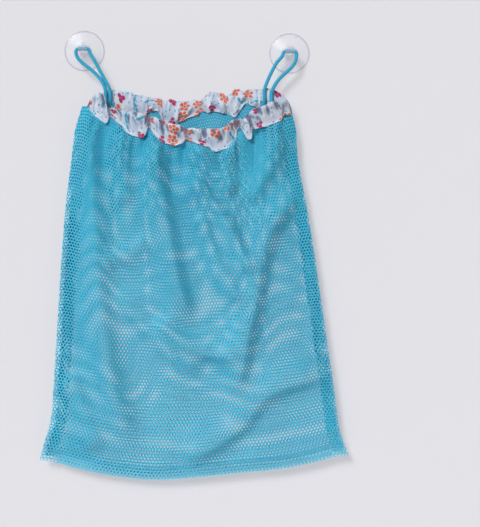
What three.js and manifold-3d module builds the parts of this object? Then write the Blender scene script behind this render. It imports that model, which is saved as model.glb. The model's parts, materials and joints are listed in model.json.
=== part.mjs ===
// Bath toy organizer: a tapered mesh bag with a gathered mouth, hung from two
// suction cups by two bights of its elastic drawcord.
//
// Millimetres, +Z up. The wall is the plane y = 0 and +Y points into it, so the
// object stands in front of it, at negative y. The origin lies on the wall,
// midway between the two cups.
import * as THREE from 'three';
import { mergeVertices } from 'three/addons/utils/BufferGeometryUtils.js';
import Module from 'manifold-3d';

// Clearances
const CLEAR = 0.3; // between pieces that touch on the real object
const CORD_CLEAR = 0.35; // on each side of the cord inside its casing
const PIVOT_GAP = 0.8; // where a bight of cord bends at the rim

// Suction cups, moulded in one piece, with a knob that is drilled crosswise
const CUP_SPACING = 204.8; // centre to centre
const CUP_DROP = 2.5; // how much lower the right cup is stuck
const CUP_D = 40;
const CUP_LIP = 0.8; // thickness of the rim
const SEAL_W = 2.2; // width of the flat ring that seals on the wall
const CUP_HOLLOW = 3.2; // depth of the suction space
const CUP_RISE = 6.4; // height of the dome where the neck starts
const NECK_D = 8;
const HEAD_D = 9.2;
const HEAD_H = 9.4;
const HEAD_ROUND = 1.6;
const CORD_HEIGHT = 13.5; // from the wall to the middle of the cross hole
const HOLE_D = 5.4;
const NUB_D = 3.2; // moulding nub on the right cup, near its rim
const NUB_H = 0.9;
const NUB_ANGLE = 0.34; // from the top of the cup, to the right

// Drawcord
const CORD_D = 3;
const PIVOT_Z = -45; // the rim's pivot line, where both bights bend

// Casing: a printed strip folded over the rim of the mouth
const MOUTH_W = 209;
const MOUTH_SHIFT = 1.5; // the mouth's middle, right of the cups' middle
const CASING_H = 22;
const CHANNEL = 8; // from the strip's lower edge up to the cord
const CASING_WALL = 0.8;
const FRONT_RIM_Z = -46; // crown of the front fold at its ends
const FRONT_SAG = 32; // and how far its middle sags
const BACK_RIM_Z = -39;
const BACK_SAG = 9.5;
const FRONT_RUFFLES = 6;
const BACK_RUFFLES = 5;
const FRONT_RUFFLE_DEPTH = 2.2;
const BACK_RUFFLE_DEPTH = 1.2;
const SCALLOP = 2; // how much the lower edge of the strip waves
const EXIT_W = 15; // gap in the back fold where the cord comes out

// Net panels
const NET = 1; // thickness
const SEAM_Y = -13.5; // the plane of the side and bottom seams
const HEM_W = 305.5;
const HEM_SHIFT = 8.1;
const HEM_LEFT_Z = -405.5;
const HEM_RIGHT_Z = -401.6;
const HEM_SAG = 21;
const FRONT_RIM_BULGE = 16.5;
const FRONT_BELLY = 14;
const BACK_RIM_BULGE = 4.5;
const BACK_BELLY = 8;
const GATHER_FADE = 70; // length over which the gathers die out

// Openings of the net, drawn as a plain coarse grid
const OPENINGS_PER_RUFFLE = 2;
const OPENINGS_DOWN = 8;
const OPEN_SHARE = 0.56; // of a pitch, both ways
const SIDE_BAR = 0.02; // closed net beside the grid, as shares of the panel
const TOP_BAR = 0.12;
const BOTTOM_BAR = 0.05;

// Seam allowances, turned to the inside
const SEAM_W = 9;
const SEAM_T = 1;

// Facets
const CUP_SIDES = 28;
const CORD_SIDES = 8;
const LOOP_STEPS = 46;
const DRAW_STEPS = 26;

const CORD_R = CORD_D / 2;
const CORD_LINE = CASING_H - CHANNEL; // from the crown of the fold down to the cord
const HEM_LAP = CHANNEL - CORD_D; // how far the net reaches up between the two walls
const CASING_GAP = CORD_D + 2 * CORD_CLEAR;
const CASING_HALF = CASING_GAP / 2 + CASING_WALL;
const PANEL_EDGE = SEAM_T / 2 + CLEAR + NET / 2; // panel's middle from the seam plane
const RIM_EDGE = CASING_HALF + SEAM_T / 2 + CLEAR; // and that of a casing's end
const GATHER_START = CORD_R + CORD_CLEAR;
const LOOP_END = CORD_R + PIVOT_GAP / 2;

const { clamp, lerp, smoothstep } = THREE.MathUtils;
const share = (value) => clamp(value, 0, 1);
const wasm = await Module();
wasm.setup();

// Keeps a geometry's positions only, welds them, drops slivers and turns the
// faces outwards.
function closed(geometry) {
  const bare = geometry.clone();
  for (const name of Object.keys(bare.attributes)) {
    if (name !== 'position') bare.deleteAttribute(name);
  }
  const welded = mergeVertices(bare, 1e-5);
  const points = welded.attributes.position;
  const corner = [new THREE.Vector3(), new THREE.Vector3(), new THREE.Vector3()];
  const kept = [];
  let volume = 0;
  for (let i = 0; i < welded.index.count; i += 3) {
    const face = [0, 1, 2].map((k) => welded.index.getX(i + k));
    if (new Set(face).size < 3) continue;
    face.forEach((index, k) => corner[k].fromBufferAttribute(points, index));
    volume += corner[0].dot(corner[1].clone().cross(corner[2]));
    kept.push(face);
  }
  const facing = volume < 0 ? kept.map(([a, b, c]) => [a, c, b]) : kept;
  welded.setIndex(facing.flat());
  return welded;
}

function toSolid(geometry) {
  const body = closed(geometry);
  return new wasm.Manifold(new wasm.Mesh({
    numProp: 3,
    vertProperties: new Float32Array(body.attributes.position.array),
    triVerts: new Uint32Array(body.index.array),
  }));
}

function toGeometry(solid) {
  const mesh = solid.getMesh();
  const geometry = new THREE.BufferGeometry();
  geometry.setAttribute('position', new THREE.BufferAttribute(mesh.vertProperties, 3));
  geometry.setIndex(new THREE.BufferAttribute(mesh.triVerts, 1));
  return geometry;
}

// Bends a straight geometry: every corner goes where place() says.
function shaped(geometry, place) {
  const points = geometry.attributes.position;
  const point = new THREE.Vector3();
  for (let i = 0; i < points.count; i += 1) {
    point.fromBufferAttribute(points, i);
    place(point);
    points.setXYZ(i, point.x, point.y, point.z);
  }
  return closed(geometry);
}

// A rod with round ends, bent along a curve: the cords, whose ends bend against
// each other at the rim.
function cord(curve, radius, steps) {
  const rod = new THREE.CapsuleGeometry(radius, 1, 2, CORD_SIDES, steps);
  const forward = new THREE.Vector3(0, -1, 0);
  return shaped(rod, (p) => {
    const t = share(p.y + 0.5);
    const beyond = p.y + 0.5 - t;
    const tangent = curve.getTangentAt(t);
    const across = new THREE.Vector3().crossVectors(tangent, forward).normalize();
    const lift = new THREE.Vector3().crossVectors(across, tangent);
    const offset = across.multiplyScalar(p.x).addScaledVector(lift, p.z);
    p.copy(curve.getPointAt(t)).addScaledVector(tangent, beyond).add(offset);
  });
}

// Materials

const finish = (color, roughness, extra = {}) =>
  new THREE.MeshStandardMaterial({ color, roughness, metalness: 0, ...extra });
const NET_COLOUR = 0x4fb3cf;
const PRINT_COLOUR = 0xe9e6ea;
const CORD_COLOUR = 0x279cc4;
const CLEAR_PVC = { transparent: true, opacity: 0.35 };

const group = new THREE.Group();
const part = (name, geometry, material) => {
  const mesh = new THREE.Mesh(geometry, material);
  mesh.name = name;
  group.add(mesh);
  return mesh;
};

// Suction cups

const CUPS = {
  left: new THREE.Vector3(-CUP_SPACING / 2, 0, CUP_DROP / 2),
  right: new THREE.Vector3(CUP_SPACING / 2, 0, -CUP_DROP / 2),
};

// Half section of a cup: distance from its axis, height above the wall.
function cupProfile() {
  const rim = CUP_D / 2;
  const seal = rim - SEAL_W;
  const neck = NECK_D / 2;
  const head = HEAD_D / 2;
  const base = CORD_HEIGHT - HEAD_H / 2;
  const top = CORD_HEIGHT + HEAD_H / 2;
  const outline = new THREE.Path();
  outline.moveTo(0, CUP_HOLLOW);
  outline.bezierCurveTo(seal / 2, CUP_HOLLOW, seal * 0.8, CUP_HOLLOW / 2, seal, 0);
  outline.lineTo(rim, 0);
  outline.lineTo(rim, CUP_LIP);
  outline.bezierCurveTo(rim * 0.75, CUP_LIP + 1.6, neck + 4, CUP_RISE - 2, neck, CUP_RISE);
  outline.lineTo(neck, base);
  outline.lineTo(head - HEAD_ROUND, base);
  outline.quadraticCurveTo(head, base, head, base + HEAD_ROUND);
  outline.lineTo(head, top - HEAD_ROUND);
  outline.quadraticCurveTo(head, top, head - HEAD_ROUND, top);
  outline.lineTo(0, top);
  return outline.getPoints(4);
}

function suctionCup() {
  const cup = toSolid(new THREE.LatheGeometry(cupProfile(), CUP_SIDES));
  const hole = new THREE.CylinderGeometry(HOLE_D / 2, HOLE_D / 2, 2 * HEAD_D, 16);
  hole.rotateZ(Math.PI / 2);
  hole.translate(0, CORD_HEIGHT, 0);
  return cup.subtract(toSolid(hole));
}

// The nub starts inside the rim, so that it grows out of it.
function nub() {
  const reach = CUP_D / 2 - SEAL_W;
  const peg = new THREE.CylinderGeometry(NUB_D / 2, NUB_D / 2, CUP_LIP / 2 + NUB_H, 12);
  peg.translate(0, CUP_LIP + (NUB_H - CUP_LIP / 2) / 2, -reach);
  peg.rotateY(-NUB_ANGLE);
  return toSolid(peg);
}

// A cup is turned on its back: its axis, drawn upright, points away from the wall.
const cupSolids = { left: suctionCup(), right: suctionCup().add(nub()) };
for (const side of ['left', 'right']) {
  const material = finish(0xdfe9ee, 0.12, CLEAR_PVC);
  const cup = part(`${side}_suction_cup`, toGeometry(cupSolids[side]), material);
  cup.rotation.x = Math.PI;
  cup.position.copy(CUPS[side]);
}

// Hanging loops: bights of the drawcord, threaded through the knobs. Points are
// x and z from the middle of the cross hole, from the rim up, round and down.

const pivotZ = (x) => PIVOT_Z - (x * CUP_DROP) / CUP_SPACING;

const LOOPS = {
  left: {
    up: [[22.4, -41], [21, -36.5], [18.4, -31.6], [14, -26.2], [8, -20.6], [1, -15.2], [-4.4, -10], [-6.6, -5.2]],
    down: [[7.2, -4.8], [9.8, -8.8], [13.2, -14.6], [17, -22], [20.8, -28.8], [24, -34.6], [26.2, -39.4]],
    ends: [-79.8, -75.2],
  },
  right: {
    up: [[-25.4, -39.6], [-23.6, -33.2], [-20.2, -25.2], [-16.7, -18], [-13.2, -11.8], [-9.8, -7.6], [-7.2, -4.6]],
    down: [[6.6, -5], [5.6, -10], [2.4, -15.2], [-3.2, -20.6], [-9, -26], [-13.6, -31.6], [-16.8, -37.4], [-18.2, -41]],
    ends: [77.2, 84],
  },
};
const KNOB_PASS = [[-6.2, -2.4], [-4.7, -0.5], [-2.4, 0], [2.4, 0], [4.7, -0.5], [6.2, -2.4]];

function loopCurve(side) {
  const { up, down, ends } = LOOPS[side];
  const cup = CUPS[side];
  const tip = (x) => new THREE.Vector3(x, -CORD_HEIGHT, pivotZ(x) + LOOP_END);
  const middle = [...up, ...KNOB_PASS, ...down];
  const points = middle.map(([x, z]) => new THREE.Vector3(cup.x + x, -CORD_HEIGHT, cup.z + z));
  const curve = new THREE.CatmullRomCurve3([tip(ends[0]), ...points, tip(ends[1])], false, 'centripetal');
  // Stations follow the points, which lie closest where the cord turns at the knob.
  curve.getPointAt = curve.getPoint;
  curve.getTangentAt = curve.getTangent;
  return curve;
}

for (const side of ['left', 'right']) {
  const loop = cord(loopCurve(side), CORD_R, LOOP_STEPS);
  part(`${side}_hanging_loop`, loop, finish(CORD_COLOUR, 0.6));
}

// The mouth. u runs along the rim from the left side seam to the right one.

const mouthX = (u) => MOUTH_SHIFT + (u - 0.5) * MOUTH_W;
const mouthU = (x) => (x - MOUTH_SHIFT) / MOUTH_W + 0.5;
const arch = (u) => Math.sin(Math.PI * u);

const FRONT = {
  side: -1,
  ruffles: FRONT_RUFFLES,
  depth: FRONT_RUFFLE_DEPTH,
  rimBulge: FRONT_RIM_BULGE,
  belly: FRONT_BELLY,
  crownZ: (u) => FRONT_RIM_Z - FRONT_SAG * arch(u),
};
const BACK = {
  side: 1,
  ruffles: BACK_RUFFLES,
  depth: BACK_RUFFLE_DEPTH,
  rimBulge: BACK_RIM_BULGE,
  belly: BACK_BELLY,
  crownZ: (u) => BACK_RIM_Z - BACK_SAG * arch(u) ** 2,
};

const rimY = (half, u) => SEAM_Y + half.side * (RIM_EDGE + half.rimBulge * arch(u));
const wave = (half, u) =>
  Math.cos(2 * Math.PI * half.ruffles * u) * smoothstep(u, 0, 0.08) * smoothstep(1 - u, 0, 0.08);

// Sideways ruffle at a height above (or, if negative, below) the cord: none
// where the cord holds the strip, growing towards its edges and fading down the net.
function ruffle(half, u, above) {
  const away = Math.abs(above);
  const fade = Math.exp(Math.min(0, above + CASING_H - CORD_LINE) / GATHER_FADE);
  return half.side * half.depth * wave(half, u) * fade * smoothstep(away, GATHER_START, CORD_LINE);
}

// Folded strip: two walls joined at the crown, drawn in section and then bent
// along the rim.
function casingSection() {
  const fold = new THREE.Shape();
  const gap = CASING_GAP / 2;
  const levels = [-CASING_H, -CORD_LINE - GATHER_START, -CORD_LINE + GATHER_START];
  fold.moveTo(-CASING_HALF, levels[0]);
  levels.slice(1).forEach((z) => fold.lineTo(-CASING_HALF, z));
  fold.absarc(0, -CASING_HALF, CASING_HALF, Math.PI, 0, true);
  [...levels].reverse().forEach((z) => fold.lineTo(CASING_HALF, z));
  levels.forEach((z) => fold.lineTo(gap, z));
  fold.absarc(0, -CASING_HALF, gap, 0, Math.PI, false);
  [...levels].reverse().forEach((z) => fold.lineTo(-gap, z));
  fold.closePath();
  return fold;
}

function casing(half) {
  const steps = 6 * half.ruffles;
  const strip = new THREE.ExtrudeGeometry(casingSection(), {
    steps, depth: 1, curveSegments: 2, bevelEnabled: false,
  });
  return shaped(strip, (p) => {
    const u = p.z;
    const above = p.y + CORD_LINE;
    const lap = Math.max(0, -above) / (CASING_H - CORD_LINE);
    const y = rimY(half, u) + p.x + ruffle(half, u, above);
    p.set(mouthX(u), y, half.crownZ(u) + p.y - SCALLOP * wave(half, u) * lap);
  });
}

// Drawcord: each half comes from a loop at the rim, enters its fold and leaves
// it at the other loop.
function drawCurve(half, from, to) {
  const entry = mouthU(from) + 0.075;
  const exit = mouthU(to) - 0.075;
  const end = (x, drop) => new THREE.Vector3(x, -CORD_HEIGHT, pivotZ(x) - LOOP_END - drop);
  const points = [end(from, 0), end(from, 2 * CORD_R)];
  const stations = 9;
  for (let i = 0; i < stations; i += 1) {
    const u = lerp(entry, exit, i / (stations - 1));
    points.push(new THREE.Vector3(mouthX(u), rimY(half, u), half.crownZ(u) - CORD_LINE));
  }
  points.push(end(to, 2 * CORD_R), end(to, 0));
  return new THREE.CatmullRomCurve3(points, false, 'centripetal');
}

const frontDraw = drawCurve(FRONT, LOOPS.left.ends[0], LOOPS.right.ends[1]);
const backDraw = drawCurve(BACK, LOOPS.left.ends[1], LOOPS.right.ends[0]);
part('front_drawcord', cord(frontDraw, CORD_R, DRAW_STEPS), finish(CORD_COLOUR, 0.6));
part('back_drawcord', cord(backDraw, CORD_R, DRAW_STEPS), finish(CORD_COLOUR, 0.6));

// The cord passes through the inner wall of each fold with room around it, and
// the back fold is cut away where the loops rise out of the mouth.
const passage = (curve) => toSolid(cord(curve, CORD_R + 2 * CORD_CLEAR, DRAW_STEPS));

function exitNotch(side) {
  const [a, b] = LOOPS[side].ends;
  const middle = (a + b) / 2;
  const floor = pivotZ(middle) - LOOP_END - CORD_D;
  const height = BACK_RIM_Z + CASING_H - floor;
  const depth = 4 * CASING_HALF + 2 * BACK_RUFFLE_DEPTH;
  const notch = new THREE.BoxGeometry(EXIT_W, depth, height);
  notch.translate(middle, rimY(BACK, mouthU(middle)), floor + height / 2);
  return toSolid(notch);
}

let frontFold = toSolid(casing(FRONT)).subtract(passage(frontDraw));
let backFold = toSolid(casing(BACK)).subtract(passage(backDraw));
backFold = backFold.subtract(exitNotch('left')).subtract(exitNotch('right'));
part('front_casing', toGeometry(frontFold), finish(PRINT_COLOUR, 0.85));
part('back_casing', toGeometry(backFold), finish(PRINT_COLOUR, 0.85));

// Net panels. v runs from the top edge, between the casing's walls, down to the
// bottom seam. Each side widens along its own curve, from 0 at the mouth to 1
// at the bottom corner.

const widening = (values) => new THREE.SplineCurve(values.map(([v, share]) => new THREE.Vector2(v, share)));
const LEFT_SIDE = widening([[0, 0], [0.13, 0.24], [0.28, 0.43], [0.53, 0.58], [0.78, 0.71], [0.9, 0.8], [1, 1]]);
const RIGHT_SIDE = widening([[0, 0], [0.13, 0.14], [0.28, 0.29], [0.53, 0.53], [0.78, 0.77], [0.9, 0.86], [1, 1]]);

function along(curve, v) {
  const points = curve.points;
  const i = Math.max(1, points.findIndex((p) => p.x >= v));
  const local = (v - points[i - 1].x) / (points[i].x - points[i - 1].x);
  return curve.getPoint((i - 1 + local) / (points.length - 1)).y;
}

const hemX = (u) => HEM_SHIFT + (u - 0.5) * HEM_W;
const hemZ = (u) => lerp(HEM_LEFT_Z, HEM_RIGHT_Z, u) - HEM_SAG * Math.sin(Math.PI * u ** 0.9);
const netX = (u, v) => {
  const left = lerp(mouthX(0), hemX(0), along(LEFT_SIDE, v));
  const right = lerp(mouthX(1), hemX(1), along(RIGHT_SIDE, v));
  return lerp(left, right, u);
};
const netTop = (half, u) => half.crownZ(u) - CASING_H + HEM_LAP;

function netPoint(half, u, v) {
  const z = lerp(netTop(half, u), hemZ(u), v);
  const edge = lerp(RIM_EDGE, PANEL_EDGE, smoothstep(v, 0.03, 0.2));
  const swell = lerp(half.rimBulge, half.belly, smoothstep(v, 0.02, 0.35)) * (1 - v ** 3);
  const gathers = ruffle(half, u, z - half.crownZ(u) + CORD_LINE) * (1 - v ** 2);
  return new THREE.Vector3(netX(u, v), SEAM_Y + half.side * (edge + swell * arch(u)) + gathers, z);
}

// Where the openings of a row start and end.
function openings(count, from, to) {
  const pitch = (to - from) / count;
  const reach = (pitch * OPEN_SHARE) / 2;
  const middles = Array.from({ length: count }, (_, i) => from + (i + 0.5) * pitch);
  return middles.flatMap((middle) => [middle - reach, middle + reach]);
}

// A flat slab of unit thickness with a grid of cells, some of them open.
function openwork(us, vs, isOpen) {
  const corners = [];
  const quad = (...four) => corners.push(...[0, 1, 2, 0, 2, 3].map((k) => four[k]));
  const filled = (i, j) => i in us && i + 1 in us && j in vs && j + 1 in vs && !isOpen(i, j);
  for (let i = 0; i + 1 < us.length; i += 1) {
    for (let j = 0; j + 1 < vs.length; j += 1) {
      if (!filled(i, j)) continue;
      const at = (du, side, dv) => [us[i + du], side / 2, vs[j + dv]];
      quad(at(0, 1, 0), at(0, 1, 1), at(1, 1, 1), at(1, 1, 0));
      quad(at(0, -1, 0), at(1, -1, 0), at(1, -1, 1), at(0, -1, 1));
      if (!filled(i - 1, j)) quad(at(0, -1, 0), at(0, -1, 1), at(0, 1, 1), at(0, 1, 0));
      if (!filled(i + 1, j)) quad(at(1, -1, 0), at(1, 1, 0), at(1, 1, 1), at(1, -1, 1));
      if (!filled(i, j - 1)) quad(at(0, -1, 0), at(0, 1, 0), at(1, 1, 0), at(1, -1, 0));
      if (!filled(i, j + 1)) quad(at(0, -1, 1), at(1, -1, 1), at(1, 1, 1), at(0, 1, 1));
    }
  }
  const slab = new THREE.BufferGeometry();
  slab.setAttribute('position', new THREE.Float32BufferAttribute(corners.flat(), 3));
  return slab;
}

function netPanel(half) {
  const across = OPENINGS_PER_RUFFLE * half.ruffles;
  const us = [0, ...openings(across, SIDE_BAR, 1 - SIDE_BAR), 1];
  const vs = [0, TOP_BAR / 2, ...openings(OPENINGS_DOWN, TOP_BAR, 1 - BOTTOM_BAR), 1];
  const isOpen = (i, j) => i % 2 === 1 && j % 2 === 0 && j > 0;
  return shaped(openwork(us, vs, isOpen), (p) => {
    const middle = netPoint(half, p.x, p.z);
    p.set(middle.x, middle.y + NET * p.y, middle.z);
  });
}

part('front_mesh_panel', netPanel(FRONT), finish(NET_COLOUR, 0.7));
part('back_mesh_panel', netPanel(BACK), finish(NET_COLOUR, 0.7));

// Seam allowances between the two panels, along both sides and the bottom.

function sideSeam(edge) {
  const strip = new THREE.BoxGeometry(1, SEAM_T, 1, 1, 1, 16);
  const inward = edge === 0 ? 1 : -1;
  return shaped(strip, (p) => {
    const v = lerp(0.02, 1, share(0.5 - p.z));
    const x = netX(edge, v) + inward * SEAM_W * (p.x + 0.5);
    p.set(x, SEAM_Y + p.y, lerp(netTop(FRONT, edge), hemZ(edge), v));
  });
}

// The bottom strip starts and ends clear of the side strips, which lean inwards
// just above the corners.
function bottomSeam() {
  const strip = new THREE.BoxGeometry(1, SEAM_T, 1, 28, 1, 1);
  const margin = (edge) => {
    const above = 1 - SEAM_W / (netTop(FRONT, edge) - hemZ(edge));
    const lean = Math.abs(netX(edge, above) - hemX(edge));
    return (lean + SEAM_W + 2 * CLEAR) / HEM_W;
  };
  return shaped(strip, (p) => {
    const u = lerp(margin(0), 1 - margin(1), share(p.x + 0.5));
    p.set(hemX(u), SEAM_Y + p.y, hemZ(u) + SEAM_W * (p.z + 0.5));
  });
}

part('left_side_seam', sideSeam(0), finish(NET_COLOUR, 0.75));
part('right_side_seam', sideSeam(1), finish(NET_COLOUR, 0.75));
part('bottom_seam', bottomSeam(), finish(NET_COLOUR, 0.75));

export default group;
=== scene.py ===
# %% [markdown]
# # A hanging net bag, dressed in Blender
# The real thing is a bag of turquoise net for drying bath toys. Its mouth is
# gathered on an elastic cord inside a printed cotton strip, and two bights of
# that cord hang on two clear suction cups. The solid model gives sizes, places
# and joints. This script loads it and makes each piece again as what it is.

# %% Load the frame
import contextlib
import json
import math
from types import SimpleNamespace

import bmesh
import bpy
import numpy as np
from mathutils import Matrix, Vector

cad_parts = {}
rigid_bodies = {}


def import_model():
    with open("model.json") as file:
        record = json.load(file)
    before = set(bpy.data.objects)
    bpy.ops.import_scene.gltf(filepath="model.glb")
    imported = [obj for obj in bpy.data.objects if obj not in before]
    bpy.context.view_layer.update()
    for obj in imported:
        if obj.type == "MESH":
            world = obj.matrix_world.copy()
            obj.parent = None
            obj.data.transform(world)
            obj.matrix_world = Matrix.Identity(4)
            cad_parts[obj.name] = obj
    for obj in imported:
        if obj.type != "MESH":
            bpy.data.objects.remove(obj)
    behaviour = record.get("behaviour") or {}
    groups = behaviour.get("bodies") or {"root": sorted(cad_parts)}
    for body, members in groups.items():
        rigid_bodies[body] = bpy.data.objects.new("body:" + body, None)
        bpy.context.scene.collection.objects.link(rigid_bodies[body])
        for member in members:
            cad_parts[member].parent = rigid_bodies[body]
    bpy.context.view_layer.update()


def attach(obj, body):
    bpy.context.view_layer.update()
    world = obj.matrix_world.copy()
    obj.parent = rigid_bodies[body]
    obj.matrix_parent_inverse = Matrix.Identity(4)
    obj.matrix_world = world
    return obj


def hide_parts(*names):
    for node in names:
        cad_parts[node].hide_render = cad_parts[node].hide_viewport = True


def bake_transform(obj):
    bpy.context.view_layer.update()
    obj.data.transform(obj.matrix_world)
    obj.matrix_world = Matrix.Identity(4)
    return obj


for leftover in list(bpy.data.objects):
    bpy.data.objects.remove(leftover)
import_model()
MM = 0.001

# %% [markdown]
# ## Camera
# The photograph looks straight at the wall from about 1.2 m, one millimetre to
# a pixel at the wall. `from_photo` turns a pixel into millimetres for a point
# that stands some depth in front of the wall, so that drawn edges land where
# the picture has them.

# %% Camera
EYE = (53.1, -1200.0, -211.25)  # millimetres, in the frame of the part
SEEN_WIDTH, SEEN_HEIGHT, SENSOR = 480, 527, 36


def placed(name, data):
    """A new object in the scene."""
    made = bpy.data.objects.new(name, data)
    bpy.context.scene.collection.objects.link(made)
    return made


lens = bpy.data.cameras.new("eye")
lens.sensor_width = SENSOR
lens.lens = SENSOR * -EYE[1] / SEEN_HEIGHT
eye = placed("eye", lens)
eye.location = [value * MM for value in EYE]
eye.rotation_euler = (math.pi / 2, 0, 0)
bpy.context.scene.camera = eye


def from_photo(px, py, depth):
    near = 1 - np.asarray(depth) / -EYE[1]
    x = EYE[0] + (np.asarray(px) - SEEN_WIDTH / 2) * near
    z = EYE[2] + (SEEN_HEIGHT / 2 - np.asarray(py)) * near
    return x, z


print("lens", round(lens.lens, 2), "mm; first pixel at the wall:", from_photo(0, 0, 0))

# %% [markdown]
# ## Shader sums in Python
# A material is a tree of nodes. Wrapping a socket in a small class lets a mask
# be written as a sum, `1 - mask * 0.4`, and each operator adds its Math node.
# The same class serves the trees of Geometry Nodes further down.


# %% Node wrapper
def math_node(operation, turned=False):
    """A method that adds a Math node to the tree and gives its result."""

    def method(value, *others):
        terms = (*others, value) if turned else (value, *others)
        return value.nodes.node("ShaderNodeMath", {"operation": operation}, *terms)

    return method


class Value:
    """One output socket, which can stand in a sum."""

    def __init__(self, nodes, socket):
        self.nodes, self.socket = nodes, socket

    __add__ = __radd__ = math_node("ADD")
    __sub__, __rsub__ = math_node("SUBTRACT"), math_node("SUBTRACT", turned=True)
    __mul__ = __rmul__ = math_node("MULTIPLY")
    __truediv__, __mod__ = math_node("DIVIDE"), math_node("FLOORED_MODULO")
    wave, sine, root, whole = map(math_node, ("COSINE", "SINE", "SQRT", "ROUND"))
    at_least, at_most, above = map(math_node, ("MAXIMUM", "MINIMUM", "GREATER_THAN"))
    angle_from = math_node("ARCTAN2")

    def over(self, edge, soft):
        """0 below edge, 1 above it, with a soft step."""
        settings = {"operation": "MULTIPLY", "use_clamp": True}
        return self.nodes.node("ShaderNodeMath", settings, self - edge, 1 / soft)


class Nodes:
    """A node tree, with one method that makes any node."""

    def __init__(self, tree):
        self.tree = tree

    def node(self, kind, settings, *values, out=0, **named):
        made = self.tree.nodes.new(kind)
        for key, value in settings.items():
            setattr(made, key, value)
        for key, value in [*enumerate(values), *named.items()]:
            self.put(self.socket(made.inputs, key), value)
        return Value(self, self.socket(made.outputs, out))

    @staticmethod
    def socket(sockets, key):
        if isinstance(key, int):
            return sockets[key]
        return next(s for s in sockets if key in (s.identifier, s.name.replace(" ", "_")))

    def put(self, socket, value):
        if isinstance(value, Value):
            self.tree.links.new(value.socket, socket)
        else:
            socket.default_value = value

    def other(self, value, name):
        """Another output of the node that made a value."""
        return Value(self, self.socket(value.socket.node.outputs, name))

    def parts(self, vector):
        x = self.node("ShaderNodeSeparateXYZ", {}, vector)
        return x, self.other(x, "Y"), self.other(x, "Z")

    def vectors(self, operation, *terms, **named):
        return self.node("ShaderNodeVectorMath", {"operation": operation}, *terms, **named)


print("node wrapper ready")

# %% [markdown]
# ## Finishes
# `Finish` starts a material with its constant values set on the shader's own
# sockets. Colours are written as they look on a screen and turned into the
# linear values that Blender works with.


# %% Finish
def screen(code, alpha=1.0):
    values = [int(code[i : i + 2], 16) / 255 for i in (0, 2, 4)]
    linear = [v / 12.92 if v <= 0.04045 else ((v + 0.055) / 1.055) ** 2.4 for v in values]
    return (*linear, alpha)


class Finish(Nodes):
    """A material, with its shader and what its nodes often need."""

    def __init__(self, name, constants):
        self.material = bpy.data.materials.new(name)
        self.material.use_nodes = True
        super().__init__(self.material.node_tree)
        self.shader = self.tree.nodes["Principled BSDF"]
        for key, value in constants.items():
            self.shader.inputs[key].default_value = value

    def to(self, key, value):
        self.put(self.shader.inputs[key], value)

    def mix(self, factor, a, b):
        return self.node("ShaderNodeMix", {"data_type": "RGBA"}, out="Result_Color",
                         Factor_Float=factor, A_Color=a, B_Color=b)

    def flat(self):
        """The piece's own cloth coordinates, in metres."""
        return self.node("ShaderNodeUVMap", {"uv_map": "flat"})

    def place(self):
        return self.node("ShaderNodeTexCoord", {}, out="Object")

    def kept(self, name):
        """A number that the mesh keeps for each of its points."""
        return self.node("ShaderNodeAttribute", {"attribute_name": name}, out="Fac")

    def noise(self, vector, size, detail=2.0):
        return self.node("ShaderNodeTexNoise", {}, Vector=vector, Scale=1 / size, Detail=detail)

    def bump(self, height, distance):
        self.to("Normal", self.node("ShaderNodeBump", {}, Height=height, Distance=distance, Strength=1.0))


print("white is", screen("ffffff")[:3])

# %% [markdown]
# ## Stage and light
# The photograph has the bag against a plain pale surface under one soft light
# from the upper left. The wall and the floor are one bent sheet, and the camera
# sees half of their colour in any light, which keeps the shadows pale. The
# sheet's back is clear, so that the bag can also be looked at from behind, and
# a second level light comes through it to the bag's back. A sun with a wide
# disc gives an even wall with soft shadows, and the world fills them.

# %% Stage
WALL_COLOUR = screen("dcdbdf")
PALE_SHARE = 0.5  # share of the wall's colour that the camera sees in any light
WALL_Y, WALL_TOP, COVE_TOP, COVE_R, REACH = 0.0006, 1.6, -0.75, 0.2, 4.0  # metres


def seen_directly(nodes):
    """1 for rays from the camera, also by way of gloss and clear plastic."""
    camera = nodes.node("ShaderNodeLightPath", {}, out="Is_Camera_Ray")
    glossy, clear = nodes.other(camera, "Is_Glossy_Ray"), nodes.other(camera, "Is_Transmission_Ray")
    return camera.at_least(glossy.at_least(clear))


profile = [(WALL_Y, WALL_TOP), (WALL_Y, COVE_TOP)]
for a in np.linspace(0.1, math.pi / 2, 9):
    profile.append((WALL_Y - COVE_R * (1 - math.cos(a)), COVE_TOP - COVE_R * math.sin(a)))
profile.append((-REACH, COVE_TOP - COVE_R))
corners = [(x, y, z) for y, z in profile for x in (REACH, -REACH)]
faces = [(2 * i, 2 * i + 1, 2 * i + 3, 2 * i + 2) for i in range(len(profile) - 1)]
sheet = bpy.data.meshes.new("wall_and_floor")
sheet.from_pydata(corners, [], faces)
sheet.polygons.foreach_set("use_smooth", [True] * len(faces))
wall = placed("wall_and_floor", sheet)

paint = Finish("wall_paint", {"Roughness": 0.9, "Specular IOR Level": 0.1, "Base Color": WALL_COLOUR})
lit = Value(paint, paint.shader.outputs[0])
glow = paint.node("ShaderNodeEmission", {}, WALL_COLOUR, 1.0)
soft = paint.node("ShaderNodeMixShader", {}, seen_directly(paint) * PALE_SHARE, lit, glow)
back = paint.node("ShaderNodeNewGeometry", {}, out="Backfacing")
shadow = paint.node("ShaderNodeLightPath", {}, out="Is_Shadow_Ray")
clear = paint.node("ShaderNodeBsdfTransparent", {})
seen = paint.node("ShaderNodeMixShader", {}, back.at_least(shadow), soft, clear)
paint.put(paint.tree.nodes["Material Output"].inputs["Surface"], seen)
sheet.materials.append(paint.material)
print("wall faces the bag:", sheet.polygons[0].normal.y < 0)

# %% Light
SUN_STRENGTH, BACK_STRENGTH, FILL = 2.65, 1.2, 0.35
FROM_THE_WINDOW = np.array((0.38, 0.80, -0.52))  # the way the light goes
FROM_BEHIND = (-0.22, -1.0, -0.06)


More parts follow.
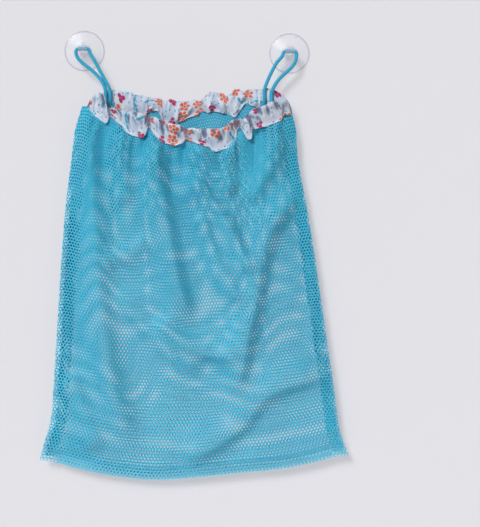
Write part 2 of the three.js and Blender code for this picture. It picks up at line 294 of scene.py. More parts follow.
def sunlight(name, strength, disc, towards):
    """A sun whose disc is so many degrees wide: the wider, the softer its shadows."""
    lamp = bpy.data.lights.new(name, "SUN")
    lamp.energy, lamp.angle = strength, math.radians(disc)
    sun = placed(name, lamp)
    sun.rotation_mode = "QUATERNION"
    sun.rotation_quaternion = Vector(towards).to_track_quat("-Z", "Y")


sunlight("window", SUN_STRENGTH, 20, FROM_THE_WINDOW)
sunlight("light_on_the_back", BACK_STRENGTH, 30, FROM_BEHIND)

world = bpy.data.worlds.new("room")
bpy.context.scene.world = world
world.use_nodes = True
room = Nodes(world.node_tree)
light = room.node("ShaderNodeBackground", {}, (1, 1, 1, 1), FILL)
pale = room.node("ShaderNodeBackground", {}, WALL_COLOUR, 1.0)
both = room.node("ShaderNodeMixShader", {}, seen_directly(room), light, pale)
room.put(world.node_tree.nodes["World Output"].inputs["Surface"], both)

bpy.context.scene.view_settings.view_transform = "Standard"
facing = FROM_THE_WINDOW[1] / np.linalg.norm(FROM_THE_WINDOW)
print("light on the wall:", round(SUN_STRENGTH * facing / math.pi + FILL, 3))

# %% [markdown]
# ## Clear cup plastic
# Soft PVC is clear where it is thin, and greyer at the rim, where there is more
# of it. Round the neck it is greyer too, partly for thicker plastic and partly
# as painted shade from the knob. How much it hides is kept on the mesh as a
# number for each point, and it hides more where it is seen edge-on. Fine
# moulding rings run round the axis as a ripple, and the gloss is a little uneven.

# %% Clear PVC
RING_STEP = 1.3  # millimetres from one moulding ring to the next

clear_pvc = Finish("clear_pvc", {"IOR": 1.5})
thick = clear_pvc.kept("thick")
rings = (clear_pvc.kept("from_axis") * (2 * math.pi / RING_STEP)).wave()
haze = clear_pvc.noise(clear_pvc.place(), 12 * MM)
edge_on = clear_pvc.node("ShaderNodeLayerWeight", {}, out="Facing", Blend=0.3)
clear_pvc.to("Base Color", clear_pvc.mix(thick.over(0.14, 0.6), screen("e4e4ec"), screen("6c6981")))
clear_pvc.to("Roughness", 0.1 + haze * 0.08)
clear_pvc.to("Alpha", thick * (0.9 + haze * 0.2 + rings * 0.1) + edge_on * edge_on * 0.3)
clear_pvc.bump(rings, 0.03 * MM)
print("finish:", clear_pvc.material.name)

# %% [markdown]
# ## Suction cups
# A cup is a turned shape: flat sealing ring, hollow, dome, neck and a knob that
# is drilled crosswise for the cord. Half of its section is spun round by
# writing rings of points, and the cross hole is cut with a Boolean, which is
# then made plain mesh. The right cup has a small moulding nub near its rim.


# %% Mesh helpers
def new_piece(name, points, faces, finish):
    """A smooth mesh object at the origin; points are millimetres."""
    mesh = bpy.data.meshes.new(name)
    mesh.from_pydata((np.asarray(points, float) * MM).tolist(), [], faces)
    mesh.polygons.foreach_set("use_smooth", [True] * len(faces))
    mesh.materials.append(finish.material)
    return placed(name, mesh)


def set_value(piece, label, values):
    """Keeps a number for each point of a piece under a name that finishes can read."""
    kept = piece.data.attributes.new(label, "FLOAT", "POINT")
    kept.data.foreach_set("value", np.asarray(values, np.float32).ravel())


def made_plain(piece):
    """Turns a piece with modifiers into plain mesh."""
    depsgraph = bpy.context.evaluated_depsgraph_get()
    mesh = bpy.data.meshes.new_from_object(piece.evaluated_get(depsgraph))
    mesh.name = piece.name
    piece.modifiers.clear()
    old, piece.data = piece.data, mesh
    bpy.data.meshes.remove(old)
    return piece


def grid_faces(rows, columns):
    """Faces between neighbouring rows and columns of points."""
    return [(r * columns + c, r * columns + c + 1, (r + 1) * columns + c + 1, (r + 1) * columns + c)
            for r in range(rows - 1) for c in range(columns - 1)]


@contextlib.contextmanager
def reworked(piece):
    """The mesh of a piece, opened for changes that are then written back."""
    work = bmesh.new()
    work.from_mesh(piece.data)
    yield work
    work.to_mesh(piece.data)
    work.free()


def faces_out(piece):
    """Merges points that lie on each other and turns the faces outwards."""
    with reworked(piece) as work:
        bmesh.ops.remove_doubles(work, verts=work.verts, dist=1e-7)
        bmesh.ops.recalc_face_normals(work, faces=work.faces)


print("mesh helpers ready")


# %% Section of a cup
def bezier(a, b, c, d, count):
    t = np.linspace(0, 1, count)[:, None]
    a, b, c, d = map(np.array, (a, b, c, d))
    return (1 - t) ** 3 * a + 3 * (1 - t) ** 2 * t * b + 3 * (1 - t) * t * t * c + t**3 * d


CUP_R, SEAL_W, CUP_LIP, CUP_HOLLOW, CUP_RISE = 20, 2.2, 0.8, 3.2, 6.4
NECK_R, HEAD_R, HEAD_H, HEAD_ROUND = 4, 4.6, 9.4, 1.6
CORD_HEIGHT = 13.5  # from the wall to the middle of the cross hole

seal, base, top = CUP_R - SEAL_W, CORD_HEIGHT - HEAD_H / 2, CORD_HEIGHT + HEAD_H / 2
bend = np.linspace(0, np.pi / 2, 7)
outline = np.vstack([  # radius and height, from the middle of the hollow to the top of the knob
    bezier((0, CUP_HOLLOW), (seal / 2, CUP_HOLLOW), (seal * 0.8, CUP_HOLLOW / 2), (seal, 0), 14),
    [(CUP_R - 0.25, 0), (CUP_R, 0.2), (CUP_R, CUP_LIP - 0.15), (CUP_R - 0.2, CUP_LIP)],
    bezier((CUP_R - 0.4, CUP_LIP + 0.05), (CUP_R - 5, CUP_LIP + 1.6),
           (NECK_R + 4, CUP_RISE - 2), (NECK_R, CUP_RISE), 18),
    [(NECK_R, base - 0.1)],
    np.c_[HEAD_R - HEAD_ROUND * (1 - np.sin(bend)), base + HEAD_ROUND * (1 - np.cos(bend))],
    np.c_[HEAD_R - HEAD_ROUND * (1 - np.cos(bend)), top - HEAD_ROUND * (1 - np.sin(bend))],
    [(1.5, top + 0.15), (0, top + 0.2)],
])
print("section of a cup:", len(outline), "points,", outline[:, 1].max(), "mm high")


# %% Turning and drilling
HOLE_R, DRILL_REACH = 2.7, 12
NUB = [(0, 0.5), (1.6, 0.5), (1.6, 1.5), (1.3, 1.8), (0, 1.9)]  # radius and height
NUB_TURN = 0.34  # its place round the rim, in radians from the top


def spun(outline, sides):
    """Rings of points round the y axis from (radius, height) pairs; `faces_out` closes seam and poles."""
    turn = np.linspace(0, 2 * np.pi, sides + 1)
    radius, height = np.array(outline, float).T[:, :, None]
    points = np.stack([radius * np.cos(turn), -height + 0 * turn, radius * np.sin(turn)], -1)
    return points.reshape(-1, 3), grid_faces(len(outline), sides + 1)


def drill(cup, middle):
    """Cuts the cross hole for the cord."""
    section = [(0, -DRILL_REACH), (HOLE_R, -DRILL_REACH), (HOLE_R, DRILL_REACH), (0, DRILL_REACH)]
    points, faces = spun(section, 40)
    bit = new_piece("bit", points[:, [1, 0, 2]] + np.add(middle, (0, -CORD_HEIGHT, 0)), faces, clear_pvc)
    faces_out(bit)
    cut = cup.modifiers.new("cross_hole", "BOOLEAN")
    cut.operation, cut.solver, cut.object = "DIFFERENCE", "EXACT", bit
    made_plain(cup)
    bpy.data.objects.remove(bit)


def add_nub(cup, middle):
    """Joins the moulding nub to a cup."""
    points, faces = spun(NUB, 24)
    points += np.add(middle, (seal * math.sin(NUB_TURN), 0, seal * math.cos(NUB_TURN)))
    nub = new_piece("nub", points, faces, clear_pvc)
    faces_out(nub)
    with reworked(cup) as work:
        work.from_mesh(nub.data)
    bpy.data.objects.remove(nub)


print("cross hole", 2 * HOLE_R, "mm wide")

# %% Cups
CUP_PLACES = {"left": (-102.4, 0, 1.25), "right": (102.4, 0, -1.25)}
# the neck's share is partly thicker plastic and partly painted shade from the knob
HIDES = {"dome": 0.15, "rim": 0.34, "neck": 0.2, "knob": 0.05, "knob_edge": 0.22}  # shares
RIM_FROM, RIM_SOFT = 19.2, 0.6  # radius at which the rim begins, and over how much
NECK_RING, NECK_SOFT = 5, 2.6
KNOB_FROM, KNOB_EDGE, KNOB_SOFT = 7.2, 3.6, 1.0  # height where the knob begins, radius of its edge


def how_much_hides(radius, height):
    """The share of the light that the plastic stops at a place."""
    dome = HIDES["dome"] + HIDES["rim"] * np.clip((radius - RIM_FROM) / RIM_SOFT, 0, 1)
    # round the neck: partly thicker plastic, partly painted shade from the knob
    dome += HIDES["neck"] * np.exp(-(((radius - NECK_RING) / NECK_SOFT) ** 2))
    knob = HIDES["knob"] + HIDES["knob_edge"] * np.clip((radius - KNOB_EDGE) / KNOB_SOFT, 0, 1)
    return np.where(height > KNOB_FROM, knob, dome)


for side, middle in CUP_PLACES.items():
    points, faces = spun(outline, 96)
    cup = new_piece(f"{side}_cup", points + middle, faces, clear_pvc)
    faces_out(cup)
    drill(cup, middle)
    if side == "right":
        add_nub(cup, middle)
    for face in cup.data.polygons:
        face.use_smooth = True
    cup.data.set_sharp_from_angle(angle=math.radians(38))
    place = np.array([v.co for v in cup.data.vertices]) / MM - middle
    radius = np.hypot(place[:, 0], place[:, 2])
    set_value(cup, "thick", how_much_hides(radius, -place[:, 1]))
    set_value(cup, "from_axis", radius)
    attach(cup, f"{side}_cup")
    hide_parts(f"{side}_suction_cup")
    print(cup.name, len(cup.data.polygons), "faces")

# %% [markdown]
# ## Elastic cord
# The cord is rubber under a round turquoise braid, three millimetres thick, and
# drawn half a millimetre thicker for the fuzz of the braid. A bight rises out
# of the mouth, passes through the knob and goes down again. A smooth curve runs
# through the points of the solid model, and rings of points along it make the
# tube. Its cloth coordinates run round and along it, so the braid of the
# material follows the cord.

# %% Braided cord finish
STRANDS, LAY = 8, 2.6 * MM  # yarns each way round, and the length of their turn
STRAND_GAP = 3 * math.pi * MM / STRANDS
braid = Finish("elastic_braid", {"Specular IOR Level": 0.35, "Sheen Weight": 0.15})
around, along, _ = braid.parts(braid.flat())
turns, climb = around * (2 * math.pi / STRAND_GAP), along * (2 * math.pi / LAY)
yarn = (turns + climb).wave().at_least((turns - climb).wave()) * 0.5 + 0.5
worn = braid.noise(braid.place(), 9 * MM)
braid.to("Base Color", braid.mix(yarn * 0.6 + worn * 0.4, screen("1087ab"), screen("2aa8c9")))
braid.to("Roughness", 0.5 + worn * 0.2)
braid.bump(yarn, 0.18 * MM)
print("finish:", braid.material.name, "with", STRANDS, "strands")


# %% Curves
def run_along(line):
    """Distance along a line of points, from its first point to each."""
    return np.r_[0, np.cumsum(np.linalg.norm(np.diff(line, axis=0), axis=1))]


def hermite(xs, ys, slopes, at):
    """A smooth curve through points with a slope at each, read at x."""
    i = np.clip(np.searchsorted(xs, at) - 1, 0, len(xs) - 2)
    h = xs[i + 1] - xs[i]
    t = np.clip((at - xs[i]) / h, 0, 1)
    return ((2 * t**3 - 3 * t**2 + 1) * ys[i] + (t**3 - 2 * t**2 + t) * h * slopes[i]
            + (3 * t**2 - 2 * t**3) * ys[i + 1] + (t**3 - t**2) * h * slopes[i + 1])


def through(points, at):
    """A smooth curve through (x, y) points, read at x."""
    xs, ys = np.array(sorted(points), float).T
    return hermite(xs, ys, np.gradient(ys, xs), np.asarray(at, float))


def smooth_path(points, step):
    """Points about a step apart on a smooth curve through the given ones."""
    p = np.array(points, float)
    gaps = np.linalg.norm(np.diff(p, axis=0), axis=1) ** 0.5
    knots = np.r_[0, np.cumsum(gaps)]
    slope = np.gradient(p, knots, axis=0)
    fine = np.linspace(0, knots[-1], 40 * len(p))
    line = np.stack([hermite(knots, p[:, k], slope[:, k], fine) for k in range(3)], 1)
    length = run_along(line)
    stations = np.linspace(0, length[-1], int(round(length[-1] / step)) + 1)
    return np.stack([np.interp(stations, length, line[:, k]) for k in range(3)], 1)


print("a curve through three points:", through([(0, 0), (1, 1), (2, 0)], [0.5, 1.5]))

# %% Tubes along a path
TUBE_SIDES = 14


def grid_piece(name, grid, flat, finish):
    """Rows and columns of points as a mesh, with cloth coordinates as the map that finishes read."""
    piece = new_piece(name, grid.reshape(-1, 3), grid_faces(*grid.shape[:2]), finish)
    loops = np.empty(len(piece.data.loops), int)
    piece.data.loops.foreach_get("vertex_index", loops)
    layer = piece.data.uv_layers.new(name="flat")
    layer.data.foreach_set("uv", (flat.reshape(-1, 2)[loops] * MM).astype(np.float32).ravel())
    return piece


def unit(vectors):
    return vectors / np.linalg.norm(vectors, axis=-1, keepdims=True)


def tube(name, path, radius, finish):
    """A round tube with domed ends; the first and last turn of its map share a seam."""
    tangent = unit(np.gradient(path, axis=0))
    across = unit(np.cross(tangent, (0, 1.0, 0)))
    lift = np.cross(across, tangent)
    length = run_along(path)
    dome = np.linspace(0, np.pi / 2, 4)[1:]
    rows = [(0, -radius * math.sin(a), radius * math.cos(a)) for a in dome[::-1]]
    rows += [(i, 0.0, radius) for i in range(len(path))]
    rows += [(len(path) - 1, radius * math.sin(a), radius * math.cos(a)) for a in dome]
    turn = np.linspace(0, 2 * np.pi, TUBE_SIDES + 1)
    grid, flat = [], []
    for i, ahead, r in rows:
        ring = np.cos(turn)[:, None] * across[i] + np.sin(turn)[:, None] * lift[i]
        grid.append(path[i] + tangent[i] * ahead + r * ring)
        flat.append(np.c_[turn * radius, np.full(turn.shape, length[i] + ahead)])
    piece = grid_piece(name, np.array(grid), np.array(flat), finish)
    faces_out(piece)
    return piece


print("tubes have", TUBE_SIDES, "sides")

# %% Hanging loops
CORD_R = 1.75
KNOB_PASS = [(-6.6, -2.1), (-4.9, -0.3), (-2.4, 0), (2.4, 0), (4.9, -0.3), (6.6, -2.1)]
LOOPS = {  # x and z from the middle of the cross hole, and the rim that each end goes into
    "left": {
        "up": [(22.4, -41), (21, -36.5), (18.4, -31.6), (14, -26.2), (8, -20.6), (1, -15.2),
               (-4.4, -10), (-6.6, -5.2)],
        "down": [(7.2, -4.8), (9.8, -8.8), (13.2, -14.6), (17, -22), (20.8, -28.8), (24, -34.6),
                 (26.2, -39.4)],
        "ends": ("front", "back"),
    },
    "right": {
        "up": [(-25.4, -39.6), (-23.6, -33.2), (-20.2, -25.2), (-16.7, -18), (-13.2, -11.8),
               (-9.8, -7.6), (-7.2, -4.6)],
        "down": [(6.6, -5), (5.6, -10), (2.4, -15.2), (-3.2, -20.6), (-9, -26), (-13.6, -31.6),
                 (-16.8, -37.4), (-18.2, -41)],
        "ends": ("back", "front"),
    },
}
CORD_ENDS = {  # x and y at which a bight goes on as the cord inside the strip
    "front": {"left": (-79.8, -17.5), "right": (84, -17.5)},
    "back": {"left": (-75.2, -10.4), "right": (77.2, -10.4)},
}
RIM_Z, TUCK_Z, INSIDE_Z = -45.5, -51, -57  # heights on the way into the strip


def way_in(face, side):
    """The last points of a bight, from the rim into the strip."""
    x, y = CORD_ENDS[face][side]
    return [(x, -CORD_HEIGHT, RIM_Z), (x, y * 0.3 - CORD_HEIGHT * 0.7, TUCK_Z), (x, y, INSIDE_Z)]


for side, points in LOOPS.items():
    cup = CUP_PLACES[side]
    spots = points["up"] + KNOB_PASS + points["down"]
    middle = [(cup[0] + x, -CORD_HEIGHT, cup[2] + z) for x, z in spots]
    start, end = (way_in(face, side) for face in points["ends"])
    path = smooth_path(start[::-1] + middle + end, 0.9)
    loop = tube(f"{side}_hanging_loop_cord", path, CORD_R, braid)
    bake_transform(loop)
    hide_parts(f"{side}_hanging_loop")

# %% [markdown]
# ## Printed cotton
# The strip round the mouth is white cotton with a small print. The print here
# is a plain scatter of its own: orange blossoms, crimson berries and teal
# leaves. A Voronoi texture deals one motif to each cell, and each motif is a
# ring of round or slim shapes: five petals, three berries on stems or two
# leaves. Deep in the pinches of the strip the white goes towards a grey blue,
# which is painted shade. How deep a pinch is comes from the mesh, as a number
# for each point.

# %% Motifs
MOTIF, SPECK = 14.0 * MM, 4.6 * MM
cotton = Finish("printed_cotton", {"Specular IOR Level": 0.25, "Sheen Weight": 0.1})


def dealt(size, spread):
    """Cells of a size: distance and angle from the cell's own point, and a random number."""
    scaled = cotton.vectors("SCALE", cotton.flat(), Scale=1 / size)
    cells = cotton.node("ShaderNodeTexVoronoi", {"voronoi_dimensions": "2D"}, out="Position",
                        Vector=scaled, Scale=1.0, Randomness=spread)
    dx, dy, _ = cotton.parts(cotton.vectors("SUBTRACT", scaled, cells))
    draw, turn, _ = cotton.parts(cotton.other(cells, "Color"))
    return (dx * dx + dy * dy).root(), dy.angle_from(dx) + turn * (2 * math.pi), draw


far, angle, draw = dealt(MOTIF, 0.6)
speck_far, _, speck_draw = dealt(SPECK, 0.9)


def posy(times, reach, size, slim=1.0):
    """1 inside any of a few round or slim shapes set in a ring about the motif's middle."""
    step = 2 * math.pi / times
    turn = angle % step - step / 2
    x, y = far * turn.wave() - reach, far * turn.sine() * slim
    return (size - (x * x + y * y).root()).over(0, 0.04)


print("motif cells of", MOTIF / MM, "mm and specks of", SPECK / MM, "mm")

# %% Printed cotton finish
THREAD_GAP, PINCH_SHADE = 0.5 * MM, 0.85
is_berry, is_leaf, is_bare = (draw.over(least, 0.001) for least in (0.34, 0.62, 0.82))
on_a_stem = is_berry * (1 - is_leaf)
specks = (0.2 - speck_far).over(0, 0.05) * speck_draw.over(0.55, 0.001)
speck_colour = cotton.mix(speck_draw.over(0.9, 0.001), screen("55aac6"), screen("8f4a68"))
faded = cotton.noise(cotton.flat(), 16 * MM, 3.0)
colour = cotton.mix(faded.over(0.42, 0.2), screen("cfd5e1"), screen("bccadd"))
for mask, dye in (
    (specks, speck_colour),
    (posy(2, 0.2, 0.22, 2.2) * is_leaf * (1 - is_bare), screen("45a6c6")),  # leaves
    (posy(3, -0.3, 0.16, 6.0) * on_a_stem, screen("8c3a5c")),  # stems
    (posy(3, 0.15, 0.16) * on_a_stem, screen("ab2f5f")),  # berries
    (posy(5, 0.25, 0.15) * (1 - is_berry), screen("de6433")),  # petals
    ((0.11 - far).over(0, 0.03) * (1 - is_berry), screen("a8582f")),  # hearts of the blossoms
):
    colour = cotton.mix(mask, colour, dye)
# painted shade: deep in the pinches the print goes towards a grey blue
cotton.to("Base Color", cotton.mix(cotton.kept("pinch") * PINCH_SHADE, colour, screen("4f5d78")))
warp, weft, _ = cotton.parts(cotton.flat())
threads = (warp * (2 * math.pi / THREAD_GAP)).wave() * (weft * (2 * math.pi / THREAD_GAP)).wave()
cotton.to("Roughness", 0.78 + faded * 0.15)
cotton.bump(threads * 0.5 + faded, 0.12 * MM)
print("finish:", cotton.material.name)

# %% [markdown]
# ## Ruffled strip
# The strip is folded over the cord into a sleeve, and the cord gathers it into
# puffs with pinches between them. Each row below is one station along the rim:
# the upper and lower edge in the photograph, in pixels, and how far the sleeve
# puffs there. A smooth curve through the stations gives the sleeve. Its section
# is fullest high up in front and low down at the back, its edges are notched at
# tight pinches, and small wrinkles and creases cross it. A cloth simulation
# would place the puffs by chance, so the shape is drawn here.

# %% Stations
FRONT_STATIONS = [  # upper px, lower px, puff in millimetres
    (87, 104, 88, 110, 0.8), (92, 96, 93, 113, 2.6), (98, 92, 99, 117, 3.6), (104, 96, 105, 120.5, 3.0),
    (108, 106, 110, 118.7, 1.0), (113, 108, 115, 120, 2.2), (120, 110, 121, 123.5, 3.6),
    (127, 110.6, 126.5, 130, 4.6), (134, 111, 135, 134, 5.0), (141, 112, 143, 134, 3.6),
    (147, 114.5, 148, 129.5, 0.9), (152, 115.5, 152, 131, 1.8), (156, 117, 156.5, 135, 2.6),
    (162, 120, 162, 140, 4.4), (170, 122.5, 171, 142.4, 4.8), (177, 124, 179, 142, 3.6),
    (184, 126, 186, 140.5, 1.2), (192, 127.5, 192, 140.4, 2.4), (199, 128, 199, 142.7, 3.2),
    (207, 128, 208, 145.8, 4.4), (214, 127.6, 214, 149, 5.0), (221, 128, 222, 148, 4.8),
    (227, 125, 230, 145, 3.8), (231, 121, 235, 139, 2.4), (235, 118, 237.5, 131, 0.9),
    (240, 118, 242, 130, 1.6), (243, 119, 247, 137, 2.4), (246, 117, 251, 136.5, 2.0),
    (247.5, 112.5, 252.5, 130, 0.9), (253, 109, 257, 127, 2.6), (262, 105.5, 265, 124.5, 4.0),
    (269, 102.5, 272, 122.5, 4.4), (275, 101.5, 278, 119.5, 3.8), (281, 103.5, 282.6, 117.5, 1.4),
    (284, 100, 285.5, 114, 1.6), (287, 98.5, 289, 113.5, 2.2), (291, 106, 292, 112, 0.8),
]
BACK_STATIONS = [
    (89, 104, 90, 110, 0.8), (95, 97, 96, 114, 1.4), (101, 93, 103, 114, 1.2), (107, 90.5, 109, 112, 1.6),
    (114, 90, 115, 113, 2.4), (122, 91, 123, 115, 2.8), (130, 92, 130, 116, 2.4), (136, 93, 137, 115.5, 1.0),
    (142, 95, 143, 118, 1.8), (150, 96.5, 151, 111.5, 1.6), (157, 97, 157, 111, 1.4),
    (163, 98.5, 163, 121, 0.9), (169, 99, 169, 123, 2.0), (177, 100.5, 177, 121.5, 2.6),
    (186, 101, 186, 117.5, 2.6), (195, 100, 196, 114.5, 2.2), (201, 98, 203, 112.5, 0.9),
    (208, 94, 209, 111.2, 2.0), (215, 92, 217, 110, 2.8), (221, 93, 223, 112, 2.4),
    (226, 94, 229, 114.5, 1.0), (232, 91, 235, 115, 2.4), (238, 89, 241, 107.5, 2.4),
    (243, 89.5, 246, 104, 0.9), (249, 88.5, 251, 104.5, 1.8), (257, 89, 258, 106.5, 2.2),
    (262, 88, 263, 108, 1.0), (268, 87.5, 269, 109, 1.8), (275, 90, 276, 110, 1.8),
    (281, 92, 282, 112, 1.4), (286, 97, 287, 113, 1.2), (290, 103, 291, 112, 0.8),
]
print(len(FRONT_STATIONS), "front stations,", len(BACK_STATIONS), "back stations")

# %% Line of the rim
FRONT, BACK = -1, 1  # the side of the seams, along y
SEAM_Y, MOUTH_LEFT, MOUTH_RIGHT = -13.5, -103.0, 106.0
RIM_SWELL = {FRONT: 16.9, BACK: 4.5}  # how far the rims stand off the seams
SIDE_APART, RIM_APART, PARTS_OVER = 0.5, 2.5, 0.06  # gap at a seam, gap gained, share of the width for it
RIM_PX, RIM_DEPTH = 120, 20  # a height and a depth near the rim, for a first guess at x
LEAST_PUFF = 0.6


def eased(value, low, high):
    """0 below low, 1 above high, with a soft start and end."""
    t = np.clip((value - low) / (high - low), 0, 1)
    return t * t * (3 - 2 * t)


def rim_y(side, x):
    """Depth of the gathered rim; front and back meet at the side seams."""
    u = np.clip((x - MOUTH_LEFT) / (MOUTH_RIGHT - MOUTH_LEFT), 0, 1)
    apart = SIDE_APART + RIM_APART * eased(np.minimum(u, 1 - u), 0, PARTS_OVER)
    return SEAM_Y + side * (apart + RIM_SWELL[side] * np.sin(np.pi * u))


def rim_line(stations, side, columns):
    """Upper and lower edge of a sleeve (x and z), its middle's y and its puff, for each column."""
    table = np.array(stations, float)
    rank, at = np.arange(len(table)), np.linspace(0, len(table) - 1, columns)
    ux, uy, lx, ly, puff = (hermite(rank, values, np.gradient(values), at) for values in table.T)
    puff = np.maximum(puff, LEAST_PUFF)
    mid_y = rim_y(side, from_photo((ux + lx) / 2, RIM_PX, RIM_DEPTH)[0])
    depth = -mid_y + (puff if side == FRONT else 0)
    return np.array(from_photo(ux, uy, depth)), np.array(from_photo(lx, ly, depth)), mid_y, puff


print("rims at the middle:", rim_y(FRONT, 1.5), rim_y(BACK, 1.5))

# %% Wrinkles
WRINKLES = {  # how much they change across the strip, their width, height and seed
    "fan": (4, 7, 1.0, 0), "fold": (15, 11, 1.3, 1), "edge": (2, 9, 0.35, 2), "crease": (12, 13, 2.0, 3),
}


def crumple(x, y, size, seed):
    """An even, seeded unrest of about one unit, from nine crossing waves."""
    dice = np.random.default_rng(seed)
    total = np.zeros(np.broadcast(x, y).shape)
    for _ in range(9):
        lean, phase, stretch = dice.uniform(0, 2 * np.pi), dice.uniform(0, 2 * np.pi), dice.uniform(0.6, 1.7)
        total += np.sin((x * np.cos(lean) + y * np.sin(lean)) * 2 * np.pi / (size * stretch) + phase)
    return total / 2.2


def evened(values, count):
    """The mean of so many neighbours, for each value."""
    return np.convolve(np.pad(values, count // 2, "edge"), np.ones(count) / count, "valid")


print("wrinkles of the strip:", ", ".join(WRINKLES))

# %% Section of the strip
PUFF_OUT, PUFF_IN = {FRONT: 1.8, BACK: 1.2}, 0.8  # for each mm of puff, towards the room and the wall
FULLEST = {FRONT: 3.0, BACK: 0.6}  # over 1, the section is fullest above its middle
LAYER_OFF = 0.55  # half the gap between layers that lie flat
CORD_ROOM, CORD_BAND = 0.5, 0.3  # room over the cord, and the share of the height that it lifts
WRINKLED = 1.2  # the more a row bulges, the higher its wrinkles
TURN_FROM, TURN_ROWS = 0.3, 13  # the section starts a little above the seam, in radians
RAW_EDGES = (-0.10, -1.35), (-0.08, 1.2)  # heights below the seam; a side past 1 marks a raw edge
EDGE_OFF, EDGE_PUFF, EDGE_FAN = 1.3, 0.22, 0.5  # a raw edge stands off: always, with puff, with fans

swing = np.linspace(TURN_FROM, np.pi, TURN_ROWS)
SECTION = [RAW_EDGES[0]]  # height from the lower edge, 0, to the upper, 1, and the side of the layer
SECTION += [((1 - np.cos(a)) / 2, -np.sin(a)) for a in swing]
SECTION += [((1 - np.cos(a)) / 2, np.sin(a)) for a in swing[-2::-1]]
SECTION += [RAW_EDGES[1]]


def layer_rise(t, layer, side, puff, fan, folds):
    """How far a row of the section stands off the middle of the sleeve."""
    if abs(layer) > 1:
        return EDGE_OFF + EDGE_PUFF * puff + EDGE_FAN * fan
    bulge = 2 * math.sqrt(t ** FULLEST[side] * (1 - t ** FULLEST[side]))
    rise = LAYER_OFF + bulge * puff * (PUFF_OUT[side] if layer < 0 else PUFF_IN)
    rise += np.clip(bulge * WRINKLED, 0, 1) * folds
    over_cord = np.exp(-(((t - 0.5) / CORD_BAND) ** 2))
    return np.maximum(rise, (CORD_R + CORD_ROOM) * over_cord)


print("the section has", len(SECTION), "rows")

# %% Sleeve
PINCH = 21  # columns that a pinch is compared with
# the next two set the painted shade of the pinches
PINCH_DEPTH = {FRONT: 0.8, BACK: 4.0}  # how far below those columns a pinch is darkest
PINCH_LINE = {FRONT: 1.0, BACK: 0.15}  # how dark a tight pinch is
TIGHT_PUFF, TIGHT_SOFT = 0.9, 1.5  # puff of a tight pinch, and how much more puff isn't tight
NOTCH = 1.6  # how far the edges are drawn in at a tight pinch
FAN_EVER, FAN_TIGHT = 0.45, 0.8  # height of fans of wrinkles, and how much more at a tight pinch
PUFF_CLOTH = 1.5  # cloth along the strip for each mm of puff
ENDS_OPEN = -1.0, 6.0  # from an end of the strip, between these its layers part


def sleeve(stations, side, columns, seed):
    """A gathered sleeve: its points, cloth coordinates, middle and lower line, puffs, and the painted shade
    of its pinches.
    """

    def wrinkles(kind, t):
        across, width, high, more = WRINKLES[kind]
        return crumple(run, across * t, width, seed + more) * high

    upper, lower, mid_y, puff = rim_line(stations, side, columns)
    mid_x, mid_z = (lower + upper) / 2
    run = run_along(np.c_[mid_x, puff * PUFF_CLOTH, mid_z])
    tight = np.exp(-(((puff - TIGHT_PUFF) / TIGHT_SOFT) ** 2))
    ends = eased(np.minimum(run, run[-1] - run), *ENDS_OPEN)
    grid, flat, relief, height = [], [], [], 0.0
    for t, layer in SECTION:
        fan = wrinkles("fan", t) * (FAN_EVER + FAN_TIGHT * tight)
        folds = fan + wrinkles("fold", t) - abs(wrinkles("crease", t))
        rise = layer_rise(t, layer, side, puff, fan, folds) * ends
        x, z = lower + (upper - lower) * t
        z = z + wrinkles("edge", t) + NOTCH * tight**3 * (1 - 2 * t)
        row = np.stack([x, mid_y + np.sign(layer or side) * rise, z], 1)
        if grid:
            height += float(np.median(np.linalg.norm(row - grid[-1], axis=1)))
        grid.append(row)
        relief.append(rise)
        flat.append(np.c_[run, np.full(columns, height)])
    # painted shade for the pinches: how far a row lies below its neighbours, and a dark line at tight
    # pinches
    below = np.array([evened(values, PINCH) - values for values in relief])
    pinch = np.maximum(np.clip(below / PINCH_DEPTH[side], 0, 1), PINCH_LINE[side] * tight**6)
    return SimpleNamespace(grid=np.array(grid), flat=np.array(flat), pinch=pinch, puff=puff,
                           middle=np.stack([mid_x, mid_y, mid_z], 1), lower=lower)


bands = {FRONT: sleeve(FRONT_STATIONS, FRONT, 620, 11), BACK: sleeve(BACK_STATIONS, BACK, 560, 23)}
print("fabric along the rims:", [round(float(band.flat[0, -1, 0])) for band in bands.values()], "mm")

# %% [markdown]
# ## Front pieces are cut at the middle
# When the mouth opens, the front swings forward about the bottom seam, but its
# two sides stay sewn to the back. Each front piece is therefore cut in two at
# the middle.

# %% Band pieces
SPLIT_X = 1.0
STRIP_W = 46.0  # cut width of the strip, before it was folded


def bend_front(piece):
    """Writes the place of a half of the front into its mesh."""
    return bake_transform(piece)


def halves(xs, shared=1):
    """What lies left and right of the split, as slices; the border's point is in both."""
    cut = int(np.searchsorted(xs, SPLIT_X))
    return ("left", slice(0, cut + shared)), ("right", slice(cut, None))


def band_piece(name, grid, flat, pinch):
    """A piece of the strip, and its flat size in metres."""
    band = grid_piece(name, grid, flat, cotton)
    # painted shade of the pinches, kept for each point
    set_value(band, "pinch", pinch)
    print(name, len(band.data.polygons), "faces")
    return band, (float(flat[0, -1, 0] - flat[0, 0, 0]) * MM, STRIP_W * MM)


front = bands[FRONT]
for half, part in halves(front.grid.mean(0)[:, 0]):
    tables = (table[:, part] for table in (front.grid, front.flat, front.pinch))
    band, size = band_piece(f"front_band_{half}", *tables)
    bend_front(band)
    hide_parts("front_casing")
back_band, size = band_piece("back_band", bands[BACK].grid, bands[BACK].flat, bands[BACK].pinch)
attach(back_band, "bag")
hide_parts("back_casing")

# %% [markdown]
# ## Cord inside the strip
# The cord runs on inside each sleeve, from one bight to the other. It follows
# the sleeve's middle, so it stays hidden.

# %% Cord inside the strip
END_GAP, EVERY = 6, 12  # from an end to the first point of the middle, and columns from point to point


def cord_inside(side, ends):
    """The way of the cord inside a sleeve."""
    line = bands[side].middle
    within = (line[:, 0] > ends["left"][0] + END_GAP) & (line[:, 0] < ends["right"][0] - END_GAP)
    first, last = ((*ends[half], INSIDE_Z) for half in ("left", "right"))
    path = smooth_path([first, *line[within][::EVERY], last], 1.6)
    print("cord inside:", round(float(run_along(path)[-1])), "mm")
    return path


